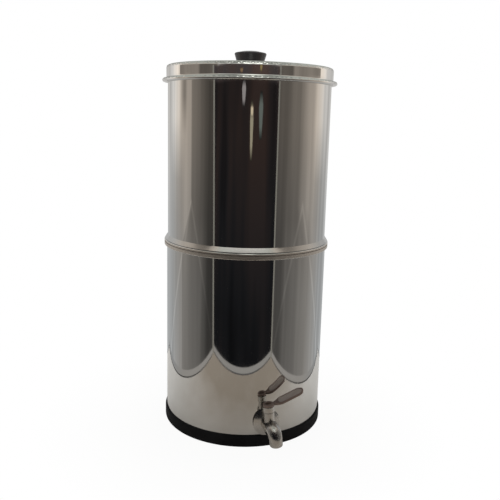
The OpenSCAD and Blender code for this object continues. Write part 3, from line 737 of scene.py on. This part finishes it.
def escutcheon_outline():
    """Domed plate with a hole, its back on the seal."""
    span = ESCUTCHEON ** 2 - ESCUTCHEON_SEAT ** 2
    drop = (span - ESCUTCHEON_RISE ** 2) / (2 * ESCUTCHEON_RISE)
    ball = math.hypot(ESCUTCHEON, drop)
    edge_z = OUTER_SEAL + ESCUTCHEON_EDGE
    edge = 0.3
    across = [ESCUTCHEON + (ESCUTCHEON_SEAT - ESCUTCHEON) * i / 24 for i in range(1, 25)]
    return supported([
        (ESCUTCHEON_BORE, OUTER_SEAL), *arc(ESCUTCHEON - edge, OUTER_SEAL + edge, edge, -90, 0, 30),
        (ESCUTCHEON, edge_z), *[(x, edge_z - drop + math.sqrt(ball ** 2 - x ** 2)) for x in across],
        (ESCUTCHEON_BORE, ESCUTCHEON_FRONT), (ESCUTCHEON_BORE, OUTER_SEAL)])


def bonnet_outline():
    """The nut on the tap's neck, with the spindle's hole in its top."""
    low_z = BONNET_Z
    top_z = low_z + BONNET_TALL
    edge = BONNET_GAP
    shelf_z = top_z - BONNET_TOP
    return supported([
        (NECK_THREAD, low_z), *arc(BONNET - edge, low_z + edge, edge, -90, 0, 15),
        *arc(BONNET - edge, top_z - edge, edge, 0, 90, 15),
        (BONNET_BORE, top_z), (BONNET_BORE, shelf_z), (NECK_THREAD, shelf_z), (NECK_THREAD, low_z)])


# ---------- chambers, lid and knob ----------

def make_shells():
    """The polished shells, each turned from its outline, with the fine ripples of their rolled edges."""
    shoulder_z = LID_EDGE_Z - SHOULDER
    roll_z = lid_low.z + FLANGE_ROLL
    face_x = LOWER_R + RIM_OUT - 0.1

    def dip(across, up):
        """Deepest halfway round a quarter turn, nothing at its ends."""
        return math.sin(2 * math.atan2(up, across)) if across > 0 and up > 0 else 0.0

    def lid_ripple(x, z):
        return max(dip(x - LID_R + SHOULDER, z - shoulder_z),
                   dip(x - LID_R - FLANGE_GAP - FLANGE_ROLL, z - roll_z) if z < roll_z + FLANGE_ROLL else 0.0)

    def rim_ripple(x, z):
        return 1.0 if x > face_x and z < RIM_Z - RIM_CORNER else 0.0

    lower = turned("lower_shell", lower_outline(), segments=1040, ripples=260, ripple_depth=0.1,
                   ripple_weight=rim_ripple)
    dress(lower, "lower", "polished_steel", "lower_chamber")
    dress(turned("upper_shell", upper_outline()), "upper", "polished_steel", "upper_chamber")
    lid = turned("lid_shell", lid_outline(), segments=780, ripples=120, ripple_depth=1.0,
                 ripple_weight=lid_ripple)
    dress(lid, "lid", "polished_steel", "lid")


def make_trim():
    """The rubber ring under the lower chamber and the knob on the lid."""
    dress(turned("rubber_ring", ring_outline()), "lower", "base_rubber", "base_ring")
    dress(turned("knob_body", knob_outline(), segments=128), "lid", "knob_plastic", "lid_knob")


# ---------- tap ----------

def spout_path(share):
    """Point and unit slope, in the [reach, height] plane, on the spout's centre line."""
    a = Vector((OUTER_SEAL, 0))
    b = Vector((SPOUT_REACH - SPOUT_BALL / 2, SPOUT_CREST))
    c = Vector((SPOUT_REACH, 0))
    d = Vector((SPOUT_REACH, SPOUT_LIP - SPOUT_DROP))
    rest = 1 - share
    point = rest ** 3 * a + 3 * rest ** 2 * share * b + 3 * rest * share ** 2 * c + share ** 3 * d
    slope = rest ** 2 * (b - a) + 2 * rest * share * (c - b) + share ** 2 * (d - c)
    return point, slope.normalized()


def eased(share):
    """A share from 0 to 1 that starts and ends level."""
    return share * share * (3 - 2 * share)


def spout_radius(share):
    """The horn swells from its root to a ball and narrows to its mouth."""
    if share < SPOUT_BALL_AT:
        return SPOUT_ROOT + (SPOUT_BALL - SPOUT_ROOT) * eased(share / SPOUT_BALL_AT)
    past = (share - SPOUT_BALL_AT) / (1 - SPOUT_BALL_AT)
    return SPOUT_BALL + (SPOUT_MOUTH - SPOUT_BALL) * eased(past)


def spout_ring(share, radius, along=0.0, sides=72):
    """A ring square to the centre line, moved along it."""
    point, slope = spout_path(share)
    middle = point + slope * along
    ring = []
    for k in range(sides):
        a = math.tau * k / sides
        up = radius * math.sin(a)
        ring.append((radius * math.cos(a), up * slope.y - middle.x, up * slope.x + middle.y))
    return ring


def lofted(name, rings):
    """A closed mesh through rings of equal length, its ends closed by poles."""
    work = bmesh.new()
    rows = [[work.verts.new(p) for p in ring] for ring in rings]
    count = len(rows[0])
    for low, high in zip(rows, rows[1:]):
        for k in range(count):
            work.faces.new((low[k], low[(k + 1) % count], high[(k + 1) % count], high[k]))
    for row in (rows[0], rows[-1]):
        pole = work.verts.new(sum((v.co for v in row), Vector()) / count)
        for k in range(count):
            work.faces.new((row[k], row[(k + 1) % count], pole))
    return from_bmesh(name, work)


def make_spout():
    """The spout's horn, with a rounded lip and the bore in its mouth."""
    steps = 56
    rings = [spout_ring(i / steps, spout_radius(i / steps)) for i in range(steps + 1)]
    lip = arc(SPOUT_MOUTH - SPOUT_LIP, 0, SPOUT_LIP, 0, 90, 15)[1:]
    end = SPOUT_LIP - MOUTH_BORE_DEEP
    bore = [(MOUTH_BORE, SPOUT_LIP), (MOUTH_BORE, end), (WATER_WAY, end), (WATER_WAY, end - WATER_WAY)]
    rings += [spout_ring(1, radius, along) for radius, along in lip + bore]
    return in_place(lofted("tap_spout", rings), TAP)


def make_tap():
    """The tap: spout, neck and shank as one body, with its thread, wall plate and bonnet."""
    edge = 0.4
    core = SHANK_RADIUS - THREAD_DEEP
    in_bonnet = BONNET_Z + BONNET_TALL / 2
    neck = turned("neck", supported([
        (0, -NECK_RADIUS / 2), (NECK_RADIUS, -NECK_RADIUS / 2),
        *arc(NECK_RADIUS - edge, NECK_UP - edge, edge, 0, 90, 15),
        (NECK_THREAD, NECK_UP), (NECK_THREAD, in_bonnet), (0, in_bonnet)]), NECK, segments=96)
    shank = turned("shank", supported([
        (0, -SHANK_IN), (core, -SHANK_IN), (core, ESCUTCHEON_EDGE), (0, ESCUTCHEON_EDGE)]), SHANK, segments=96)
    body = combined(combined(make_spout(), neck, "UNION"), shank, "UNION")
    dress(smooth(body, 35), "lower", "tap_steel", "tap_body")
    start = SHANK @ Matrix.Translation((0, 0, -SHANK_IN))
    dress(thread("shank_thread", SHANK_RADIUS, SHANK_IN - THREAD_END / 2, start), "lower", "tap_steel")
    plate = turned("escutcheon_dome", escutcheon_outline(), SHANK, segments=160)
    dress(plate, "lower", "tap_steel", "tap_escutcheon")
    dress(turned("bonnet_cap", bonnet_outline(), NECK, segments=96), "lower", "tap_steel", "tap_bonnet")


# ---------- lever ----------

def lever_plan():
    """Round hub, neck that widens, and paddle, as points round the outline from above."""
    half = PADDLE_WIDE / 2
    start = Vector((HUB, LEVER_NECK / 2))
    corner = Vector((PADDLE_AT + PADDLE_CORNER, half - PADDLE_CORNER))
    away = corner - start
    lean = math.degrees(math.atan2(away.y, away.x) + math.asin(PADDLE_CORNER / away.length))
    tip_x = LEVER_LONG - half
    hub_open = math.degrees(math.asin(LEVER_NECK / 2 / HUB))
    side = [tuple(start)] + arc(*corner, PADDLE_CORNER, 90 + lean, 90, 7)
    upper = side + arc(tip_x, 0, half, 90, 0, 7)
    lower = [(x, -y) for x, y in reversed(upper[:-1])]
    return arc(0, 0, HUB, 360 - hub_open, hub_open, 7) + upper + lower


def panel_plan():
    """Outline of the dished panel in the paddle."""
    half = PADDLE_WIDE / 2 - PANEL_RIM
    corner = PADDLE_CORNER - PANEL_RIM
    near_x = PADDLE_AT + PADDLE_CORNER
    tip_x = LEVER_LONG - PADDLE_WIDE / 2
    points = arc(near_x, half - corner, corner, 180, 90, 9) + arc(tip_x, 0, half, 90, -90, 7)
    return points + arc(near_x, corner - half, corner, -90, -180, 9)


def lever_height(x):
    """Height of the strip's underside: level at the hub, then rising after a soft bend."""
    steep = math.tan(math.radians(LEVER_RISE))
    past = x - LEVER_BEND_AT
    if past <= -LEVER_SOFT:
        return 0.0
    if past >= LEVER_SOFT:
        return steep * past
    return steep * (past + LEVER_SOFT) ** 2 / (4 * LEVER_SOFT)


def strip_top(x):
    """Height of the strip's upper face, which keeps the strip's thickness as it rises."""
    rising = min(1.0, max(0.0, (x - LEVER_BEND_AT) / LEVER_SOFT + 0.5))
    upright = 1 / math.cos(math.radians(LEVER_RISE))
    return lever_height(x) + LEVER_THICK * (1 + (upright - 1) * rising)


def bent_solid(name, plan, low, high):
    """A solid over a plan, its lower and upper faces at heights that follow x."""
    work = bmesh.new()
    face = work.faces.new([work.verts.new((x, y, 0)) for x, y in plan])
    reach = LEVER_SOFT + 0.5
    cuts = 8
    for i in range(cuts + 1):
        cut = (LEVER_BEND_AT - reach + 2 * reach * i / cuts, 0, 0)
        everything = work.verts[:] + work.edges[:] + work.faces[:]
        bmesh.ops.bisect_plane(work, geom=everything, plane_co=cut, plane_no=(1, 0, 0))
    grown = bmesh.ops.extrude_face_region(work, geom=work.faces[:])
    top = {g for g in grown["geom"] if isinstance(g, bmesh.types.BMVert)}
    for v in work.verts:
        v.co.z = high(v.co.x) if v in top else low(v.co.x)
    return from_bmesh(name, work)


def on_panel_floor(face):
    """Whether a face of the lever lies on the floor of the dished panel."""
    sunk = strip_top(face.center.x) - face.center.z
    on_floor = abs(sunk - PANEL_DEEP) < PANEL_DEEP / 10
    facing_up = face.normal.z > 0.7
    return face.center.x > PADDLE_AT + PANEL_RIM and on_floor and facing_up


def make_lever():
    """The lever: a bent strip with a dished panel, its edges softened."""
    still_mm = Matrix.Scale(1 / MM, 4)
    lever = bent_solid("lever_strip", lever_plan(), lever_height, strip_top)
    panel = bent_solid("panel", panel_plan(), lambda x: strip_top(x) - PANEL_DEEP,
                       lambda x: strip_top(x) + LEVER_THICK)
    combined(lever, panel, "DIFFERENCE")
    over = 2 * LEVER_THICK
    seat = [(0, SCREW_SEAT_UP), (SCREW_SEAT, SCREW_SEAT_UP), (SCREW_SEAT, over), (0, over)]
    combined(lever, turned("seat", seat, still_mm, segments=64), "DIFFERENCE")
    rounding = lever.modifiers.new("edges", "BEVEL")
    rounding.width = LEVER_EDGE
    rounding.segments = 3
    rounding.limit_method = "ANGLE"
    rounding.angle_limit = math.radians(30)
    lever = smooth(applied(lever), 40)
    mark(lever, "dished", on_panel_floor)
    in_place(lever, NECK @ Matrix.Translation((0, 0, HUB_Z)))
    dress(lever, "lever", "lever_steel", "tap_lever")
    head = softened("lever_screw_head", "lever_screw")
    # The satin mark also gives the whole screw head the painted shade of tap_steel.
    mark(head, "satin", lambda face: True)
    dress(head, "lever", "tap_steel", "lever_screw")


# ---------- candles and small pieces ----------

def make_candles():
    """Both candles. The cap's stem is drawn thinner, to the foot of the thread that goes round it."""
    plastic = "candle_cap_plastic"
    for side in ("left", "right"):
        dress(softened(f"ceramic_{side}", f"candle_shell_{side}"), "upper", "candle_ceramic",
              f"candle_shell_{side}")
        cap = softened(f"cap_{side}", f"candle_cap_{side}")
        low, high = box_mm(f"candle_cap_{side}")
        middle = (low + high) / 2
        for v in cap.data.vertices:
            reach = v.co.xy / MM - middle.xy
            if abs(reach.length - STEM) < NEAR:
                v.co.xy = (middle.xy + reach * (1 - THREAD_DEEP / STEM)) * MM
        dress(cap, "upper", plastic, f"candle_cap_{side}")
        place = Matrix.Translation((middle.x, middle.y, low.z))
        dress(thread(f"stem_thread_{side}", STEM, STEM_LONG - THREAD_END, place), "upper", plastic)
        dress(softened(f"wings_{side}", f"wing_nut_{side}"), "upper", plastic, f"wing_nut_{side}")


def finish_small_nodes():
    """CAD nodes that stay as they are get their finish."""
    slots = {part["node"]: part["material_slot"] for part in frame["record"]["subparts"]}
    for name, made in frame["nodes"].items():
        made.data.materials.clear()
        made.data.materials.append(FINISHES[slots[name]])


# ---------- stage ----------

CAMERA_TURN = -16.67
CAMERA_AWAY = 898
CAMERA_UP = 429.1
CAMERA_PITCH = 11.599
CAMERA_YAW = 0.372
CAMERA_ROLL = 1.450
CAMERA_LENS = 46.36

# The light tent round the filter. Here and in the finishes below lengths are in metres, light is a share of
# white, x runs to the camera's right and y away from the camera.
TENT_FRONT = -0.353
TENT_BACK = 0.22
TENT_TOP = 0.61
LEFT_FRONT = (-0.273, TENT_FRONT)
LEFT_BACK = (-0.271, TENT_BACK)
RIGHT_FRONT = (0.246, TENT_FRONT)
RIGHT_BACK = (0.271, TENT_BACK)
HEM = 0.0145
SEAM = 0.003
OPENING_TOP = 0.485
UPPER_CLOTH = 0.513
EDGE_FADE = 0.01
CREASE_TOP = (-0.10, 0.295)
CREASE_STEEP = 1.2

# Pale posts where the open front meets the sides. The left one leans back as it rises.
POST_WIDE = 0.018
LEFT_EDGE_LOW = -0.351
LEFT_EDGE_TOP = -0.308

# Gaps in the open front: name, middle, width, low end, high end, light, colour, how far before it
GAPS = [
    ("gap_left", -0.0385, 0.027, 0.447, 0.487, 0.32, (1, 0.93, 0.93), 0.003),
    ("gap_middle", 0.019, 0.022, 0.362, 0.456, 0.36, (1, 0.9, 0.66), 0.003),
    ("gap_bright", 0.019, 0.018, 0.430, 0.449, 0.7, (1, 0.84, 0.6), 0.006),
    ("gap_right", 0.083, 0.030, 0.396, 0.470, 0.16, (0.86, 1, 0.92), 0.003),
    ("gap_warm", 0.074, 0.016, 0.500, 0.512, 0.3, (1, 0.78, 0.36), 0.003),
    ("gap_low", -0.057, 0.020, 0.497, 0.505, 0.25, (1, 0.68, 0.4), 0.003),
]

# Soft lamps: name, place, size, power
LAMPS = [
    ("lamp_top", (0.1, 0.3, 1.5), 1.2, 14),
    ("lamp_left", (-1.4, -0.5, 0.9), 0.9, 9),
    ("lamp_right", (1.3, -0.7, 0.9), 0.9, 7),
]


def make_camera():
    """The camera stands back along its turn and looks ahead with its own pitch, yaw and roll."""
    angles = (CAMERA_TURN, CAMERA_PITCH, CAMERA_YAW, CAMERA_ROLL)
    turn, pitch, yaw, roll = (math.radians(angle) for angle in angles)
    place = Matrix.Translation((0, -CAMERA_AWAY * MM, CAMERA_UP * MM))
    pose = Matrix.Rotation(-yaw, 4, "Z") @ Matrix.Rotation(math.pi / 2 - pitch, 4, "X")
    camera = add_object("camera", bpy.data.cameras.new("camera"))
    camera.data.lens = CAMERA_LENS
    camera.matrix_world = Matrix.Rotation(turn, 4, "Z") @ place @ pose @ Matrix.Rotation(roll, 4, "Z")
    bpy.context.scene.camera = camera


def stage_finish(name):
    """An empty material, the object's own coordinates in metres, and their three numbers."""
    made = bpy.data.materials.new(name)
    made.use_nodes = True
    made.node_tree.nodes.clear()
    place = output(made.node_tree, "ShaderNodeTexCoord", name="Object")
    return made, place, split(place)


def floor_finish():
    """Pale floor: white to the camera but for the object's shadow. To the rest it is pale paint, with painted shade
    that makes it darker and warmer towards the open front."""
    made, place, (_, depth, _) = stage_finish("floor_paint")
    tree = made.node_tree
    spots = noise(place, 14, 4)
    # Painted shade: the paint grows darker and warmer towards the open front.
    share = ramp(depth, -0.26, 0.04) + ramp(spots, 0.3, 0.7, -0.06, 0.06)
    colour = blend(share, (0.305, 0.267, 0.222), (0.63, 0.62, 0.6))
    paint = output(tree, "ShaderNodeBsdfDiffuse", {"Color": colour})
    white = output(tree, "ShaderNodeEmission", {"Color": (1, 1, 1, 1), "Strength": 1.0})
    away = output(tree, "ShaderNodeVectorMath", {0: place}, "Value", operation="LENGTH")
    blank = ramp(away, 0.12, 0.3, 0.95, 1.0)
    seen = output(tree, "ShaderNodeLightPath", name="Is Camera Ray")
    mixed = output(tree, "ShaderNodeMixShader", {0: blank * seen, 1: paint, 2: white})
    node(tree, "ShaderNodeOutputMaterial", {"Surface": mixed})
    return made


def glow(made, strength, colour):
    """The material shines at that strength and colour."""
    tree = made.node_tree
    light = output(tree, "ShaderNodeEmission", {"Color": coloured(colour), "Strength": strength})
    node(tree, "ShaderNodeOutputMaterial", {"Surface": light})
    return made


def crease(depth, height):
    """Light along the two creases that fall from one point of the cloth to its lower corners."""
    peak_depth, peak_height = CREASE_TOP
    line = abs(depth - peak_depth) * -CREASE_STEEP + peak_height
    return ramp(abs(height - line), 0.004, 0.012, 0.25, 0.0)


def hem(height, seam_light, light):
    """Light of the hem along a screen's foot, with its seam below, and none above it."""
    soft = 0.0005
    return ramp(height, SEAM - soft, SEAM + soft, seam_light, light) * (height < HEM)


def patch(across, middle_across, half_across, along, middle_along, half_along):
    """1 within a rounded patch of the cloth, fading to 0 round it."""
    a = (across - middle_across) / half_across
    b = (along - middle_along) / half_along
    return ramp(length(a, b), 0.3, 1.6, 1.0, 0.0)


def side_light(depth, height, near_light, near_edge, fold_width, dark_fold):
    """The cloth grows lighter away from the camera, with a step at a fold that leans back as it falls."""
    slow = ramp(depth, -0.26, 0.05, near_light, 0.29)
    slow = slow + ramp(depth, -0.27, -0.19, 0.0, 0.04) * ramp(height, 0.2, 0.27, 1.0, 0.0)
    past = depth - ramp(height, 0.23, CREASE_TOP[1], -0.03, CREASE_TOP[0])
    step = ramp(past, -fold_width / 2, fold_width / 2, 0.0, 0.13)
    lit = (slow + step) * ramp(height, 0.2, 0.42, 0.9, 1.3)
    far = ramp(depth, -0.05, 0.01) * ramp(depth, 0.05, 0.2, 1.0, 0.0)
    far = far * ramp(height, 0.33, 0.43, 0.0, 0.62)
    dark = ramp(abs(depth + 0.035), 0.008, 0.035, dark_fold, 0.0) * ramp(height, 0.4, 0.46)
    lit = lit * (far + 1.0 - dark)
    upper = ramp(depth, near_edge - 0.02, near_edge, 0.13, 0.27)
    upper = upper + ramp(depth, -0.012, -0.004, 0.0, 0.8) * ramp(depth, 0.04, 0.12, 1.0, 0.5)
    roof = ramp(height, UPPER_CLOTH, UPPER_CLOTH + EDGE_FADE, 0.0, 0.6)
    above = ramp(height, OPENING_TOP, OPENING_TOP + EDGE_FADE)
    return lit + (upper.calc("MAXIMUM", roof) - lit) * above


def wall_finish(name, near_light=0, near_edge=0, fold_width=0, dark_fold=0, back_light=0):
    """A soft screen with folds, creases and a paler hem along its foot, warmer towards the top."""
    made, place, (across, depth, height) = stage_finish(name)
    if back_light:
        dim = patch(abs(across), 0.17, 0.1, height, 0.575, 0.05)
        cloth = dim * -0.3 + ramp(height, 0.15, 0.35, back_light, back_light * 1.3)
    else:
        cloth = side_light(depth, height, near_light, near_edge, fold_width, dark_fold)
        cloth = cloth * (crease(depth, height) + 1.0)
    broad = noise(place, (16, 16, 1.5), 3)
    narrow = noise(place, (30, 30, 2), 1)
    cloth = cloth * ramp(broad, 0.3, 0.7, 0.86, 1.14) * ramp(narrow, 0.3, 0.7, 0.93, 1.07)
    strength = hem(height, 0.06, 0.5 if back_light else 0.34) + cloth * (height > HEM)
    cool = blend(ramp(depth, -0.05, 0.1), (1, 0.96, 0.91), (0.95, 0.98, 1.0))
    warmth = ramp(height, 0.15, 0.42, 0.0, 0.9) * ramp(depth, -0.02, 0.08, 1.0, 0.35)
    return glow(made, strength, blend(warmth, cool, (1, 0.88, 0.76)))


def opening_finish():
    """The tent's open front: dark and warm, but for the hem below and the lit cloth above."""
    made, place, (_, _, height) = stage_finish("open_front")
    clouds = noise(place, (8, 8, 2), 2)
    dark = ramp(clouds, 0.35, 0.65, 0.014, 0.036) * ramp(height, 0.1, 0.4, 0.45, 1.0)
    strip = ramp(height, OPENING_TOP, OPENING_TOP + 0.008, 0.0, 0.05)
    lit = hem(height, 0.05, 0.3) + ramp(height, UPPER_CLOTH, UPPER_CLOTH + EDGE_FADE, 0.0, 0.75)
    warm = ramp(height, 0.12, 0.42, 0.0, 0.8) + ramp(clouds, 0.4, 0.6, -0.3, 0.3)
    tone = blend(warm, (0.85, 0.88, 1.0), (1, 0.68, 0.6))
    return glow(made, dark + strip + lit, blend(lit * 4.0, tone, (1, 0.97, 0.92)))


def roof_finish():
    """The tent's roof: soft cloth with a lamp behind it, in a dimmer patch."""
    made, place, (across, depth, _) = stage_finish("roof_screen")
    dim = patch(across, 0.005, 0.11, depth, -0.22, 0.15)
    lamp = patch(across, 0.01, 0.05, depth, -0.22, 0.05)
    folds = noise(place, (9, 3, 9), 3)
    cloth = (dim * -0.38 + 0.5) * ramp(folds, 0.3, 0.7, 0.9, 1.1)
    return glow(made, lamp * 2.5 + cloth, (0.96, 1.0, 0.93))


def gap_finish(name, strength, colour, low, high):
    """Light through a gap in the cloth, which fades towards its ends."""
    made, _, (_, _, height) = stage_finish(name)
    fade = (high - low) / 4
    start = ramp(height, low, low + fade, 0.02, strength)
    return glow(made, start * ramp(height, high - fade, high, 1.0, 0.02), colour)


def flat(name, corners, material):
    """One flat face of the stage, turned with the camera."""
    mesh = bpy.data.meshes.new(name)
    mesh.from_pydata(corners, [], [tuple(range(len(corners)))])
    mesh.materials.append(material)
    made = add_object(name, mesh)
    made.rotation_euler.z = math.radians(CAMERA_TURN)
    return made


def screen(name, corners, material):
    """A screen that only the polished surfaces see."""
    made = flat(name, corners, material)
    for kind in ("camera", "diffuse", "shadow", "transmission", "volume_scatter"):
        setattr(made, "visible_" + kind, False)


def upright(name, start, end, material):
    """A screen from just over the floor up to the roof, between two points of the plan."""
    low = 0.0005
    screen(name, [(*start, low), (*end, low), (*end, TENT_TOP), (*start, TENT_TOP)], material)


def leaning(name, foot, top, material):
    """A strip just in front of the left screen, its foot and top each between two depths."""
    x, low = LEFT_FRONT[0] + 0.001, 0.001
    screen(name, [(x, foot[0], low), (x, foot[1], low), (x, top[1], UPPER_CLOTH), (x, top[0], UPPER_CLOTH)], material)


def make_gap(name, middle, width, low, high, strength, colour, before):
    """An upright gap in the open front, wider at its upper third."""
    place = TENT_FRONT + before
    waist = low + (high - low) * 2 / 3
    end = width / 4
    shape = [(-end, low), (end, low), (2 * end, waist), (end, high), (-end, high), (-2 * end, waist)]
    corners = [(middle + aside, place, height) for aside, height in shape]
    screen(name, corners, gap_finish(name, strength, colour, low, high))


def make_stage():
    """Pale floor, and round it the screens of a soft studio tent that is dark at its open front."""
    wide = 6
    flat("floor", [(-wide, -wide, 0), (wide, -wide, 0), (wide, wide, 0), (-wide, wide, 0)], floor_finish())
    upright("screen_left", LEFT_FRONT, LEFT_BACK, wall_finish("left_screen", 0.05, -0.155, 0.008, 0.5))
    upright("screen_right", RIGHT_BACK, RIGHT_FRONT, wall_finish("right_screen", 0.09, -0.205, 0.09))
    upright("screen_back", LEFT_BACK, RIGHT_BACK, wall_finish("back_screen", back_light=0.46))
    opening = opening_finish()
    upright("screen_front", RIGHT_FRONT, LEFT_FRONT, opening)
    corners = [LEFT_FRONT, LEFT_BACK, RIGHT_BACK, RIGHT_FRONT]
    screen("screen_top", [(*corner, TENT_TOP) for corner in corners], roof_finish())
    post = glow(stage_finish("corner_post")[0], 0.25, (1, 0.97, 0.86))
    foot = (LEFT_EDGE_LOW, LEFT_EDGE_LOW + POST_WIDE)
    top = (LEFT_EDGE_TOP, LEFT_EDGE_TOP + POST_WIDE)
    leaning("left_edge_post", foot, top, post)
    leaning("left_edge_gap", (TENT_FRONT, LEFT_EDGE_LOW), (TENT_FRONT, LEFT_EDGE_TOP), opening)
    right, near = RIGHT_FRONT[0], TENT_FRONT + 0.004
    upright("right_post", (right - POST_WIDE / 2, near), (right, near), post)
    upright("right_post_side", (right - 0.001, near), (right - 0.001, near + POST_WIDE / 2), post)
    for gap in GAPS:
        make_gap(*gap)


def make_lamp(name, place, size, power):
    """A soft round lamp that shines on the filter and doesn't show in its steel."""
    data = bpy.data.lights.new(name, "AREA")
    data.shape = "DISK"
    data.size = size
    data.energy = power
    made = add_object(name, data)
    made.location = place
    made.rotation_euler = (Vector((0, 0, 0.25)) - Vector(place)).to_track_quat("-Z", "Y").to_euler()
    made.visible_glossy = False


def make_light():
    """Soft light from above and both sides, and a pale room that is white to the camera."""
    for lamp in LAMPS:
        make_lamp(*lamp)
    world = bpy.data.worlds.new("studio")
    bpy.context.scene.world = world
    world.use_nodes = True
    tree = world.node_tree
    tree.nodes.clear()
    camera, glossy, clear = (output(tree, "ShaderNodeLightPath", name=f"Is {kind} Ray")
                             for kind in ("Camera", "Glossy", "Transmission"))
    strength = ramp(camera + glossy + clear, 0, 1, 0.35, 1.0)
    sky = output(tree, "ShaderNodeBackground", {"Color": (1, 1, 1, 1), "Strength": strength})
    node(tree, "ShaderNodeOutputWorld", {"Surface": sky})
    bpy.context.scene.view_settings.view_transform = "Standard"


# ---------- the whole ----------

make_camera()
make_stage()
make_light()
finish_small_nodes()
make_shells()
make_trim()
make_tap()
make_lever()
make_candles()
